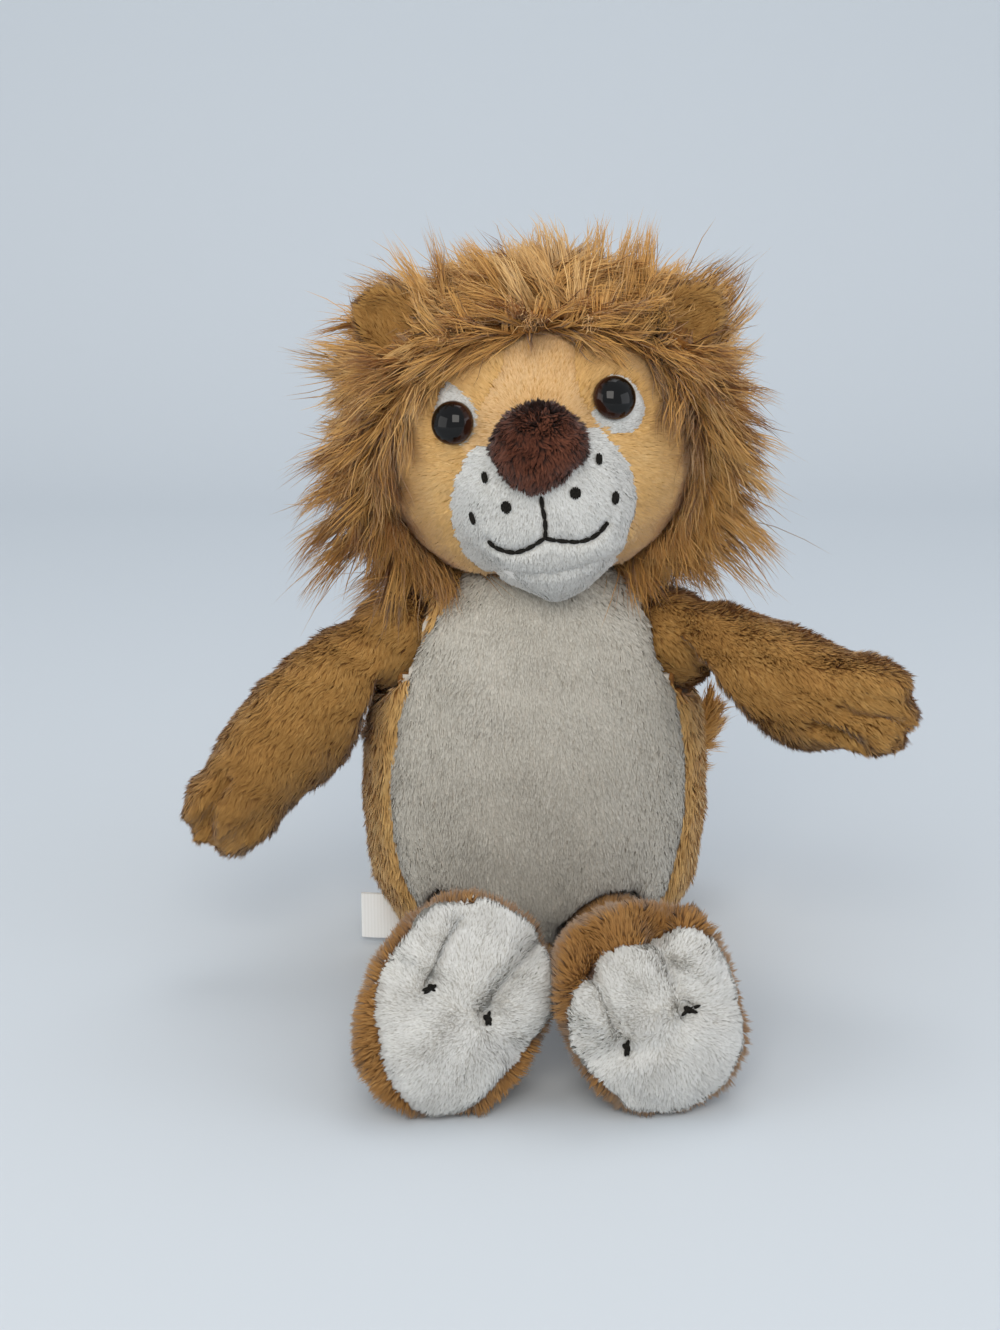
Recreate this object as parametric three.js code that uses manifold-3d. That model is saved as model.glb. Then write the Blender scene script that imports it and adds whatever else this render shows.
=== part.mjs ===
// Plush lion, sitting with its arms held out
// Millimetres, +Z up. The lion faces -Y and its own left hand is on +X. It sits on z = 0, and the
// origin is the middle of its flat seat.
// Every stuffed form is one function with a grow value: the fabric is the form less the form grown
// inwards by the fabric's thickness, and the stuffing is the form grown inwards a little more.
import * as THREE from 'three';
import { mergeVertices } from 'three/addons/utils/BufferGeometryUtils.js';
import Module from 'manifold-3d';

const wasm = await Module();
wasm.setup();

// Fabric and clearances
const plushThickness = 1.6;
const patchThickness = 0.8;
const seamGap = 0.3;
const stuffingGap = 0.7;
const runningGap = 0.3;
const rootTrim = 0.3;
const neckSag = 0.3;
const seatCutDepth = 0.5;
const cutReach = 400;

// Torso: a pear that is almost round in the belly and narrows to the neck
const torsoHeight = 123;
const torsoWidth = 103;
const torsoDepth = 82;
const torsoProfileShares = [
  // height, width, depth
  [0.0, 0.6, 0.62],
  [0.075, 0.815, 0.82],
  [0.23, 0.975, 0.965],
  [0.415, 1.0, 1.0],
  [0.62, 0.965, 0.95],
  [0.76, 0.875, 0.86],
  [0.86, 0.735, 0.75],
  [0.935, 0.55, 0.6],
  [0.98, 0.33, 0.38],
];
const tummyCutShare = 0.125;
const tummyOutlineShares = [
  // half width and height, from the bottom point up one side
  [0.0, 0.065],
  [0.42, 0.105],
  [0.66, 0.18],
  [0.79, 0.32],
  [0.815, 0.49],
  [0.755, 0.68],
  [0.63, 0.83],
  [0.48, 0.93],
  [0.0, 0.99],
];
const seatPanelWidth = 50;
const seatPanelDepth = 38;
const seatCutHeight = 30;
const neckOpeningHeight = 120;
const pelletBagWidth = 58;
const pelletBagDepth = 46;
const pelletBagHeight = 20;
const pelletBagSitShare = 0.25;

// Head, in its own upright frame before it is rolled and tilted
const headWidth = 91;
const headDepth = 76;
const headHeight = 81;
const headSide = 0.8;
const headForward = 5;
const headLift = 154;
const headRollDeg = 9;
const headTiltBackDeg = 4;
const headSquareness = 2.15;
const faceSeamForward = 2;
const blazeTopHalfWidth = 9;
const blazeBottomHalfWidth = 15;
const blazeTop = 33;
const blazeBottom = 4;

// Muzzle, nose and chin
const muzzleWidth = 51;
const muzzleDepth = 40;
const muzzleHeight = 54;
const muzzleForward = 26;
const muzzleDrop = 13;
const muzzleSquareness = 2.2;
const chinTaperShare = 0.3;
const chinSeamDrop = 29.5;
const noseWidth = 27;
const noseDepth = 22;
const noseHeight = 25;
const noseForward = 41;
const noseRise = 7;

// Eyes: a plastic dome with a shank that a washer locks behind the fabric
const eyeDiameter = 12;
const eyeDomeHeight = 4.6;
const eyeSpread = 21.5;
const eyeRise = 15.5;
const eyeShankDiameter = 3.4;
const eyeShankLength = 9;
const eyeWasherDiameter = 11;
const eyeWasherThickness = 1.2;
const eyePatchReach = 11.5;
const eyePatchHalfWidth = 7;
const eyePatchShift = 2;
const eyePatchDrop = 0.7;
const eyePatchCutShare = 0.125;
const leftPatchLeanDeg = 0;
const rightPatchLeanDeg = 8;

// Embroidery
const threadDiameter = 1.3;
const knotLength = 2.8;
const smileShares = [
  // half muzzle width and half muzzle height, across the face
  [-0.61, -0.09],
  [-0.48, -0.2],
  [-0.29, -0.24],
  [-0.11, -0.2],
  [0.0, -0.13],
  [0.11, -0.2],
  [0.29, -0.24],
  [0.48, -0.2],
  [0.61, -0.09],
];
const philtrumTopShare = 0.26;
const whiskerShares = [
  // half muzzle width and half muzzle height, on one cheek
  [0.59, 0.53],
  [0.36, 0.23],
  [0.72, 0.145],
];

// Mane and ears
const maneWidth = 118;
const maneDepth = 88;
const maneHeight = 108;
const maneBack = 9;
const maneRise = 0.5;
const maneSquareness = 2.1;
const maneFaceForward = 11;
const maneFaceTiltDeg = 20;
const maneSeamBack = 10;
const maneHemHeight = 117;
const earWidth = 21;
const earLength = 25;
const earThickness = 9;
const earStandOut = 7.5;
const earAngleDeg = { left: 58, right: 41 };
const earForward = 4;
const earCupDepth = 4.5;

// Arms: a shoulder ball sewn into the torso, a forearm that swells and a hand of three fingers
const armLength = 84;
const armWidth = 35;
const armThickness = 31;
const armProfileShares = [
  // along, width, thickness
  [0.03, 0.76, 0.78],
  [0.18, 0.95, 0.95],
  [0.36, 1.0, 1.0],
  [0.54, 0.96, 0.96],
  [0.68, 0.84, 0.83],
  [0.78, 0.7, 0.76],
  [0.87, 0.5, 0.62],
  [0.93, 0.3, 0.4],
];
const leftArmBow = -2.5;
const rightArmBow = 3;
const shoulderRadius = 15;
const shoulderInset = 11.5;
const shoulderForward = 2;
const shoulderHeight = 95;
const fingerWidth = 11.4;
const fingerLength = 29;
const fingerThickness = 20;
const fingerPitch = 7.8;
const fingerSetBack = 2.6;
const rootMouthDepth = 7;
const armDropDeg = { left: 6, right: 41 };
const armForwardDeg = { left: 42, right: 22 };
const armHighestDeg = 5;
const armLowestDeg = -51;

// Legs: a hip ball, a short leg and a paw whose sole faces forward
const footWidth = 46.5;
const footLength = 58;
const footThickness = 27;
const footSquareness = 2.3;
const footSoleShare = 0.9;
const footForward = 116;
const leftFootX = 28.3;
const rightFootX = -20.7;
const footLeanDeg = { left: -24, right: 30 };
const footYawDeg = 12;
const footTiltDeg = 13;
const legRadius = 12;
const ankleDropShare = 0.2;
const legPartingX = 3.75;
const hipRadius = 13;
const hipSpread = 22;
const hipForward = 31;
const hipHeight = 12.5;
const hipLiftDeg = 45;
const hipDropDeg = 35;
const soleSwell = 3.2;
const soleSetBack = 3;
const soleShift = 1.4;
const soleSquareness = 2.6;
const padSwell = 5.4;
const toeLength = 27;
const toeWidth = 15.6;
const toeRise = 12;
const toeSpread = 13.8;
const toeDrop = 2.6;
const toeSplayDeg = 8;
const heelWidth = 37;
const heelLength = 31;
const heelDrop = 10.4;
const tieLength = 4;
const tieRiseShare = 0.45;
const tieDiameter = 1.3;

// Tail and care label
const tailRadius = 3.4;
const tailRootRadius = 4.6;
const tailRootX = 4;
const tailRootHeight = 19;
const tailReach = 44;
const tailBow = 18;
const tailRise = 26;
const tailPathShares = [
  // sideways, backwards and up
  [0.0, 0.0, 0.0],
  [0.2, 0.75, -0.05],
  [0.55, 1.0, 0.12],
  [0.86, 0.75, 0.5],
  [1.0, 0.42, 1.0],
];
const tailTuftLength = 30;
const tailTuftRadius = 6;
const tuftSitShare = 0.25;
const labelLength = 12;
const labelHeight = 14;
const labelThickness = 0.5;
const labelFoldGap = 0.9;
const labelBottom = 2;
const labelForward = 3;

// Facets: the outsides of the skins are finer than their insides and the stuffing
const skinFacets = {
  torso: [24, 10], head: [22, 12], limb: [14, 7], paw: [16, 8], pad: [10, 6], seat: [14, 7],
};
const insideFacets = { torso: [14, 7], head: [12, 8], limb: [8, 5], paw: [8, 5], pad: [6, 4] };
const neckFacets = [18, 10];
const sweptTorsoFacets = [14, 7];
const sweptSag = 1.6;
const smallAround = 10;
const smallDown = 6;
const knotFacets = [6, 4];
const threadSteps = 16;
const outlineSteps = 16;
const outlineSegments = 6;
const sweepStepDeg = 20;

// Finishes
const finish = (color, roughness) => new THREE.MeshStandardMaterial({ color, roughness, metalness: 0 });
const brownPlush = finish('#9c6d38', 0.95);
const goldPlush = finish('#b5803f', 0.95);
const lightPlush = finish('#d39c5c', 0.95);
const whitePlush = finish('#ece9e4', 0.95);
const creamPlush = finish('#d8d1c4', 0.95);
const nosePlush = finish('#4f2f20', 0.95);
const maneFur = finish('#a8713c', 0.95);
const fibre = finish('#f4f2ee', 1);
const bagCloth = finish('#e6e2d8', 0.9);
const eyePlastic = finish('#1d120c', 0.12);
const washerPlastic = finish('#e9e9e4', 0.5);
const blackThread = finish('#15130f', 0.8);
const satin = finish('#f2f2f2', 0.45);

// Solids: geometry in, closed manifold out
const degrees = THREE.MathUtils.degToRad;
const X = new THREE.Vector3(1, 0, 0);
const Y = new THREE.Vector3(0, 1, 0);
const Z = new THREE.Vector3(0, 0, 1);

function signedVolume(points, triangles) {
  let sum = 0;
  const [a, b, c] = [new THREE.Vector3(), new THREE.Vector3(), new THREE.Vector3()];
  for (let i = 0; i < triangles.length; i += 3) {
    a.fromArray(points, triangles[i] * 3);
    b.fromArray(points, triangles[i + 1] * 3);
    c.fromArray(points, triangles[i + 2] * 3);
    sum += a.dot(b.cross(c));
  }
  return sum;
}

function solid(geometry, place) {
  const bare = geometry.clone();
  bare.deleteAttribute('normal');
  bare.deleteAttribute('uv');
  if (place) bare.applyMatrix4(place);
  const merged = mergeVertices(bare);
  const vertProperties = Float32Array.from(merged.attributes.position.array);
  const triVerts = Uint32Array.from(merged.index.array);
  if (signedVolume(vertProperties, triVerts) < 0) {
    for (let i = 0; i < triVerts.length; i += 3) {
      [triVerts[i], triVerts[i + 1]] = [triVerts[i + 1], triVerts[i]];
    }
  }
  return new wasm.Manifold(new wasm.Mesh({ numProp: 3, vertProperties, triVerts }));
}

function geometryOf(manifold) {
  const mesh = manifold.getMesh();
  const geometry = new THREE.BufferGeometry();
  geometry.setAttribute('position', new THREE.BufferAttribute(mesh.vertProperties, 3));
  geometry.setIndex(new THREE.BufferAttribute(mesh.triVerts, 1));
  return geometry;
}

const unite = (first, ...rest) => rest.reduce((sum, other) => sum.add(other), first);
const cut = (first, ...rest) => rest.reduce((left, other) => left.subtract(other), first);

// Places: turned about the part's own point, then moved
const turn = (axis, deg) => new THREE.Matrix4().makeRotationAxis(axis, degrees(deg));
const move = (x, y, z) => new THREE.Matrix4().makeTranslation(x, y, z);
const chain = (...steps) => steps.reduce((sum, step) => sum.multiply(step), new THREE.Matrix4());
const about = (centre, rotation) =>
  chain(move(centre.x, centre.y, centre.z), rotation, move(-centre.x, -centre.y, -centre.z));

// A sphere pulled to three radii, with its poles on Z and its sides a little squared
function bulge([rx, ry, rz], [around, down], squareness = 2) {
  const geometry = new THREE.SphereGeometry(1, around, down);
  geometry.rotateX(Math.PI / 2);
  const at = geometry.attributes.position;
  const point = new THREE.Vector3();
  for (let i = 0; i < at.count; i++) {
    point.fromBufferAttribute(at, i);
    const size = Math.abs(point.x) ** squareness + Math.abs(point.y) ** squareness
      + Math.abs(point.z) ** squareness;
    point.multiplyScalar(size ** (-1 / squareness));
    at.setXYZ(i, point.x * rx, point.y * ry, point.z * rz);
  }
  return geometry;
}

// Rings of points closed by a pole at each end
function loft(startPole, rings, endPole) {
  const around = rings[0].length;
  const points = [startPole, ...rings.flat(), endPole];
  const last = points.length - 1;
  const faces = [];
  for (let k = 0; k < around; k++) {
    const next = (k + 1) % around;
    faces.push(0, 1 + next, 1 + k);
    for (let row = 0; row < rings.length - 1; row++) {
      const low = 1 + row * around;
      const high = low + around;
      faces.push(low + k, low + next, high + next);
      faces.push(low + k, high + next, high + k);
    }
    const top = 1 + (rings.length - 1) * around;
    faces.push(top + k, top + next, last);
  }
  const geometry = new THREE.BufferGeometry().setFromPoints(points);
  geometry.setIndex(faces);
  return geometry;
}

function ellipseRing(centre, across, up, halfWidth, halfHeight, around) {
  return Array.from({ length: around }, (unused, k) => {
    const angle = (2 * Math.PI * k) / around;
    return centre.clone()
      .addScaledVector(across, halfWidth * Math.cos(angle))
      .addScaledVector(up, halfHeight * Math.sin(angle));
  });
}

// A table of shares drawn as one smooth curve
function smoothProfile(shares, count) {
  const curve = new THREE.CatmullRomCurve3(shares.map((row) => new THREE.Vector3(...row)));
  return curve.getPoints(count - 1);
}

// A flat outline drawn in the front view and pushed forward along Y from one depth
function frontPrism(shape, backY, place) {
  const block = new THREE.ExtrudeGeometry(shape, {
    depth: cutReach, bevelEnabled: false, curveSegments: outlineSegments,
  });
  block.applyMatrix4(chain(move(0, backY, 0), turn(X, 90)));
  return solid(block, place);
}

// All of space past a plane, which is given in the frame of a place
function halfSpace(point, normal, place = new THREE.Matrix4()) {
  const block = new THREE.BoxGeometry(cutReach, cutReach, cutReach).translate(0, 0, cutReach / 2);
  const facing = new THREE.Matrix4().makeRotationFromQuaternion(
    new THREE.Quaternion().setFromUnitVectors(Z, normal),
  );
  return solid(block, chain(place, move(...point), facing));
}

const rod = (radius, length, around = smallAround) =>
  new THREE.CylinderGeometry(radius, radius, length, around).rotateX(Math.PI / 2);
const ball = (centre, radius, facets) =>
  solid(bulge([radius, radius, radius], facets), move(centre.x, centre.y, centre.z));

// A round thread, cord or tube along a curve
function tube(points, radius, steps, around) {
  const section = new THREE.Shape().absarc(0, 0, radius, 0, 2 * Math.PI);
  return solid(new THREE.ExtrudeGeometry(section, {
    steps, extrudePath: new THREE.CatmullRomCurve3(points), curveSegments: around / 2,
    bevelEnabled: false,
  }));
}

const group = new THREE.Group();
function add(name, manifold, material) {
  const mesh = new THREE.Mesh(geometryOf(manifold), material);
  mesh.name = name;
  group.add(mesh);
}

const stuffingInset = plushThickness + stuffingGap;
const sides = [{ name: 'left', sign: 1 }, { name: 'right', sign: -1 }];
const eyePatchLeanDeg = { left: leftPatchLeanDeg, right: rightPatchLeanDeg };
const armBow = { left: leftArmBow, right: rightArmBow };
const footX = { left: leftFootX, right: rightFootX };
const shoulderSpread = torsoWidth / 2 - shoulderInset;

// Torso form, and what the limbs and the head take from it
function torsoForm(grow, [around, ringCount] = skinFacets.torso) {
  const low = -grow - seatCutDepth;
  const tall = torsoHeight - 2 * low - seatCutDepth;
  const rings = smoothProfile(torsoProfileShares, ringCount).map((row) => ellipseRing(
    new THREE.Vector3(0, 0, low + row.x * tall), X, Y,
    (row.y * torsoWidth) / 2 + grow, (row.z * torsoDepth) / 2 + grow, around,
  ));
  const poles = [low - seatCutDepth, low + tall].map((z) => new THREE.Vector3(0, 0, z));
  return solid(loft(poles[0], rings, poles[1]));
}

const shoulders = {};
const hips = {};
for (const { name, sign } of sides) {
  shoulders[name] = new THREE.Vector3(sign * shoulderSpread, -shoulderForward, shoulderHeight);
  hips[name] = new THREE.Vector3(sign * hipSpread, -hipForward, hipHeight);
}
const tailRoot = new THREE.Vector3(tailRootX, torsoDepth / 2 - tailRootRadius, tailRootHeight);

// The seats for the two shoulders, the two hips and the tail: no flat of a seat lies nearer its
// centre than the stated radius
function seat(centre, radius, [around, down]) {
  const flatShare = Math.cos(Math.PI / around) * Math.cos(Math.PI / (2 * down));
  return ball(centre, radius / flatShare, [around, down]);
}

function dimples(grow, facets = skinFacets.seat) {
  const room = runningGap - grow;
  return unite(...sides.flatMap(({ name }) => [
    seat(shoulders[name], shoulderRadius + room, facets),
    seat(hips[name], hipRadius + room, facets),
  ]), seat(tailRoot, tailRootRadius + room, [smallAround, smallDown]));
}

// The torso as a limb meets it over its whole travel about its root, less the seat of the root
function sweptTorso(centre, axis, fromDeg, toDeg, rootRadius, grow, facets = skinFacets) {
  const steps = Math.ceil((toDeg - fromDeg) / sweepStepDeg);
  const torso = geometryOf(torsoForm(grow + runningGap + sweptSag, sweptTorsoFacets));
  const spins = Array.from({ length: steps + 1 }, (unused, i) =>
    turn(axis, -(fromDeg + ((toDeg - fromDeg) * i) / steps)));
  return unite(...spins.map((spin) => solid(torso, about(centre, spin))))
    .subtract(ball(centre, rootRadius + rootTrim - grow, facets.limb));
}

// Torso skins: a cream tummy, two brown sides that meet in a back seam, and a flat seat
const below = (z) => halfSpace([0, 0, z], Z.clone().negate());
const torsoSkin = cut(torsoForm(0), torsoForm(-plushThickness, insideFacets.torso), dimples(0), below(0),
  halfSpace([0, 0, neckOpeningHeight], Z));

function tummyPrism(grow) {
  const outline = tummyOutlineShares.map(([across, high]) =>
    new THREE.Vector2((across * torsoWidth) / 2, high * torsoHeight));
  const middle = new THREE.Vector2(0, torsoHeight / 2);
  const half = new THREE.SplineCurve(outline).getPoints(outlineSteps).map((point) => {
    const outward = point.clone().sub(middle).setLength(grow);
    return point.add(outward);
  });
  const mirrored = half.slice(1, -1).reverse().map((point) => new THREE.Vector2(-point.x, point.y));
  return frontPrism(new THREE.Shape([...half, ...mirrored]), -torsoDepth * tummyCutShare);
}

const seatColumn = (grow) => solid(
  rod(1, seatCutHeight, skinFacets.torso[0]),
  new THREE.Matrix4().makeScale(seatPanelWidth / 2 + grow, seatPanelDepth / 2 + grow, 1),
);

add('tummy_panel', torsoSkin.intersect(tummyPrism(0)), creamPlush);
add('seat_panel', torsoSkin.intersect(seatColumn(0)), brownPlush);
const torsoBrown = cut(torsoSkin, tummyPrism(seamGap), seatColumn(seamGap));
for (const { name, sign } of sides) {
  const outward = X.clone().multiplyScalar(sign);
  const half = halfSpace([(sign * seamGap) / 2, 0, 0], outward);
  add(`body_side_${name}`, torsoBrown.intersect(half), brownPlush);
}

// Pellet bag in the seat, with the fibre stuffing over it
const seatInside = plushThickness + seamGap;
function pelletBagForm(grow) {
  const radii = [pelletBagWidth, pelletBagDepth, pelletBagHeight].map((size) => size / 2 + grow);
  return solid(bulge(radii, insideFacets.paw), move(0, 0, seatInside + pelletBagHeight * pelletBagSitShare));
}
const innerSeats = dimples(-stuffingInset, insideFacets.limb);
add('pellet_bag', cut(pelletBagForm(0), innerSeats, below(seatInside)), bagCloth);
add('body_stuffing', cut(
  torsoForm(-stuffingInset, insideFacets.torso), innerSeats, pelletBagForm(seamGap),
), fibre);

// Head frame: rolled and tilted about the head's centre
const headPlace = chain(
  move(headSide, -headForward, headLift), turn(Y, -headRollDeg), turn(X, headTiltBackDeg),
);
const headRadii = [headWidth / 2, headDepth / 2, headHeight / 2];
const muzzleRadii = [muzzleWidth / 2, muzzleDepth / 2, muzzleHeight / 2];
const muzzlePlace = chain(headPlace, move(0, -muzzleForward, -muzzleDrop));

const headForm = (grow, facets = skinFacets.head) => solid(
  bulge(headRadii.map((radius) => radius + grow), facets, headSquareness), headPlace,
);

// The muzzle is an egg that narrows to the chin
function muzzleForm(grow, facets = skinFacets.paw) {
  const radii = muzzleRadii.map((radius) => radius + grow);
  const egg = bulge(radii, facets, muzzleSquareness);
  const at = egg.attributes.position;
  for (let i = 0; i < at.count; i++) {
    const lowShare = Math.max(0, -at.getZ(i) / radii[2]);
    at.setX(i, at.getX(i) * (1 - chinTaperShare * lowShare ** 2));
  }
  return solid(egg, muzzlePlace);
}

// The neck that the head turns on: the head keeps outside the torso's outline at every turn
function neckClearance(grow) {
  const profile = smoothProfile(torsoProfileShares, neckFacets[1]).map((row) =>
    new THREE.Vector2(
      Math.max(row.y * torsoWidth, row.z * torsoDepth) / 2 + grow,
      row.x * (torsoHeight + 2 * grow) - grow,
    ));
  const first = new THREE.Vector2(0, profile[0].y);
  const last = new THREE.Vector2(0, torsoHeight + grow);
  const turned = new THREE.LatheGeometry([first, ...profile, last], neckFacets[0]);
  return solid(turned.rotateX(Math.PI / 2));
}
const neck = neckClearance(runningGap + neckSag);

// Where a point of the front view lies on a squared ellipsoid, and which way it faces
function onFront([rx, ry, rz], squareness, x, z) {
  const rest = 1 - Math.abs(x / rx) ** squareness - Math.abs(z / rz) ** squareness;
  const y = -ry * Math.max(rest, 0) ** (1 / squareness);
  const slope = (value, radius) =>
    (Math.sign(value) / radius) * Math.abs(value / radius) ** (squareness - 1);
  return {
    point: new THREE.Vector3(x, y, z),
    normal: new THREE.Vector3(slope(x, rx), slope(y, ry), slope(z, rz)).normalize(),
  };
}

// Eyes: each sits square to the face where it is sewn, on +Z of its own place
const eyeSpots = {};
const eyePlaces = {};
for (const { name, sign } of sides) {
  const { point, normal } = onFront(headRadii, headSquareness, sign * eyeSpread, eyeRise);
  const facing = new THREE.Quaternion().setFromUnitVectors(Z, normal);
  eyeSpots[name] = point;
  eyePlaces[name] = chain(
    headPlace, move(point.x, point.y, point.z), new THREE.Matrix4().makeRotationFromQuaternion(facing),
  );
}
const eyeSeat = patchThickness + 2 * seamGap;
const washerSag = (eyeWasherDiameter / 2) ** 2 / headDepth;

function eyeShank(name, grow) {
  const top = eyeSeat + eyeDomeHeight / 2 + grow;
  const length = eyeShankLength + top + grow;
  return solid(rod(eyeShankDiameter / 2 + grow, length),
    chain(eyePlaces[name], move(0, 0, top - length / 2)));
}

function eyeWasher(name, grow) {
  const depth = plushThickness + seamGap + washerSag + eyeWasherThickness / 2;
  return solid(rod(eyeWasherDiameter / 2 + grow, eyeWasherThickness + 2 * grow),
    chain(eyePlaces[name], move(0, 0, -depth)));
}
const eyeRoom = unite(...sides.flatMap(({ name }) =>
  [eyeShank(name, seamGap), eyeWasher(name, seamGap)]));

// Face: the head's front in two halves with a lighter blaze between them
function blazePrism(grow) {
  const [low, high] = [blazeBottom - grow, blazeTop + grow];
  const [wide, narrow] = [blazeBottomHalfWidth + grow, blazeTopHalfWidth + grow];
  const shape = new THREE.Shape();
  shape.moveTo(-wide, low);
  shape.lineTo(wide, low);
  shape.quadraticCurveTo(wide, (low + high) / 2, narrow, high);
  shape.lineTo(-narrow, high);
  shape.quadraticCurveTo(-wide, (low + high) / 2, -wide, low);
  return frontPrism(shape, -faceSeamForward - plushThickness, headPlace);
}

const headSkin = cut(headForm(0), headForm(-plushThickness, insideFacets.head), neck, muzzleForm(seamGap),
  eyeRoom);
const faceSide = (offset) => halfSpace([0, -faceSeamForward - offset, 0], Y.clone().negate(), headPlace);
const faceSkin = headSkin.intersect(faceSide(seamGap / 2));
add('head_back', headSkin.subtract(faceSide(-seamGap / 2)), maneFur);
add('forehead_blaze', faceSkin.intersect(blazePrism(0)), lightPlush);
const cheeks = faceSkin.subtract(blazePrism(seamGap));
for (const { name, sign } of sides) {
  const outward = X.clone().multiplyScalar(sign);
  const half = halfSpace([(sign * seamGap) / 2, 0, 0], outward, headPlace);
  add(`face_${name}`, cheeks.intersect(half), goldPlush);
}

// Muzzle in two panels, joined by the chin seam
const muzzleSkin = cut(muzzleForm(0), muzzleForm(-plushThickness, insideFacets.head), headForm(0), neck);
const aboveChin = (offset) => halfSpace([0, 0, offset - chinSeamDrop], Z, headPlace);
add('muzzle_panel', muzzleSkin.intersect(aboveChin(seamGap / 2)), whitePlush);
add('chin_panel', muzzleSkin.subtract(aboveChin(-seamGap / 2)), whitePlush);

// Nose: a stuffed dome over the top of the muzzle
const noseRadii = [noseWidth / 2, noseDepth / 2, noseHeight / 2];
const nose = cut(
  solid(bulge(noseRadii, skinFacets.limb), chain(headPlace, move(0, -noseForward, noseRise))),
  headForm(seamGap), muzzleForm(seamGap),
);
add('nose', nose, nosePlush);

// Eye domes on their shanks, the white patches under them and the washers behind the fabric
function eyePatchPrism(name) {
  const drop = new THREE.Shape();
  drop.moveTo(0, eyePatchReach);
  drop.quadraticCurveTo(eyePatchHalfWidth, eyePatchReach / 2, eyePatchHalfWidth, 0);
  drop.absarc(0, 0, eyePatchHalfWidth, 0, -Math.PI, true);
  drop.quadraticCurveTo(-eyePatchHalfWidth, eyePatchReach / 2, 0, eyePatchReach);
  const { x, z } = eyeSpots[name];
  return frontPrism(drop, -headDepth * eyePatchCutShare,
    chain(headPlace, move(x + eyePatchShift, 0, z - eyePatchDrop), turn(Y, -eyePatchLeanDeg[name])));
}

const patchLayer = cut(headForm(seamGap + patchThickness), headForm(seamGap), nose,
  muzzleForm(seamGap), blazePrism(seamGap), eyeRoom);
for (const { name } of sides) {
  const radius = eyeDiameter / 2;
  const dome = solid(bulge([radius, radius, eyeDomeHeight], skinFacets.pad),
    chain(eyePlaces[name], move(0, 0, eyeSeat)));
  const front = halfSpace([0, 0, eyeSeat], Z, eyePlaces[name]);
  add(`eye_${name}`, unite(dome.intersect(front), eyeShank(name, 0)), eyePlastic);
  add(`eye_patch_${name}`, patchLayer.intersect(eyePatchPrism(name)), whitePlush);
  add(`eye_washer_${name}`, eyeWasher(name, 0).subtract(eyeShank(name, seamGap)), washerPlastic);
}

add('head_stuffing', cut(
  unite(headForm(-stuffingInset, insideFacets.head),
    muzzleForm(-stuffingInset, insideFacets.head)),
  neckClearance(runningGap + neckSag + plushThickness), eyeRoom,
), fibre);

// Embroidery lies just proud of the muzzle
function onMuzzle(across, high) {
  const { point, normal } = onFront(muzzleRadii, muzzleSquareness,
    across * muzzleRadii[0], high * muzzleRadii[2]);
  return point.addScaledVector(normal, threadDiameter / 2 + seamGap).applyMatrix4(muzzlePlace);
}

const smile = smileShares.map(([across, high]) => onMuzzle(across, high));
const smileDip = smileShares[(smileShares.length - 1) / 2][1];
const philtrum = [philtrumTopShare, (philtrumTopShare + smileDip) / 2, smileDip]
  .map((high) => onMuzzle(0, high));
add('mouth_stitch', unite(
  tube(smile, threadDiameter / 2, threadSteps, smallDown),
  tube(philtrum, threadDiameter / 2, smallDown, smallDown),
), blackThread);

for (const { name, sign } of sides) {
  whiskerShares.forEach(([across, high], index) => {
    const spot = onMuzzle(sign * across, high);
    const radii = [threadDiameter / 2, threadDiameter / 2, knotLength / 2];
    const place = chain(move(spot.x, spot.y, spot.z), turn(Y, -headRollDeg));
    add(`whisker_${name}_${index + 1}`, solid(bulge(radii, knotFacets), place), blackThread);
  });
}

// Ears: cupped paddles that stand on the head and reach out through the mane
function earPlace({ name, sign }) {
  const reach = headWidth / 2 + earStandOut;
  return chain(headPlace, turn(Y, sign * earAngleDeg[name]), move(0, -earForward, reach));
}
const earForm = (side, grow) => solid(
  bulge([earWidth, earThickness, earLength].map((size) => size / 2 + grow), skinFacets.pad),
  earPlace(side),
);
for (const side of sides) {
  const radii = [earWidth / 2 - plushThickness, earThickness / 2, earLength / 2 - plushThickness];
  const cup = solid(bulge(radii, skinFacets.pad), chain(earPlace(side), move(0, -earCupDepth, 0)));
  add(`ear_${side.name}`, cut(earForm(side, 0), cup, headForm(seamGap)), brownPlush);
}

// Mane: one thick hood of long fur, sewn from a ruff round the face and a back piece
const maneRadii = [maneWidth / 2, maneDepth / 2, maneHeight / 2];
const maneHood = solid(bulge(maneRadii, skinFacets.head, maneSquareness),
  chain(headPlace, move(0, maneBack, maneRise)));
const faceOpening = chain(headPlace, move(0, -maneFaceForward, 0), turn(X, maneFaceTiltDeg));
const maneInside = headForm(patchThickness + 2 * seamGap);
const maneBody = cut(maneHood, maneInside, muzzleForm(runningGap), neck,
  ...sides.map((side) => earForm(side, seamGap)),
  halfSpace([0, 0, 0], Y.clone().negate(), faceOpening), below(maneHemHeight));
const behindSeam = (offset) => halfSpace([0, maneSeamBack + offset, 0], Y, headPlace);
add('mane_back', maneBody.intersect(behindSeam(seamGap / 2)), maneFur);
add('mane_ruff', maneBody.subtract(behindSeam(-seamGap / 2)), maneFur);

// Arms: shoulder ball, tapering arm and a mitten of three fingers
function armPlace(name, sign) {
  const { x, y, z } = shoulders[name];
  return chain(
    move(x, y, z), new THREE.Matrix4().makeScale(sign, 1, 1),
    turn(Z, -armForwardDeg[name]), turn(Y, armDropDeg[name]),
  );
}

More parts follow.
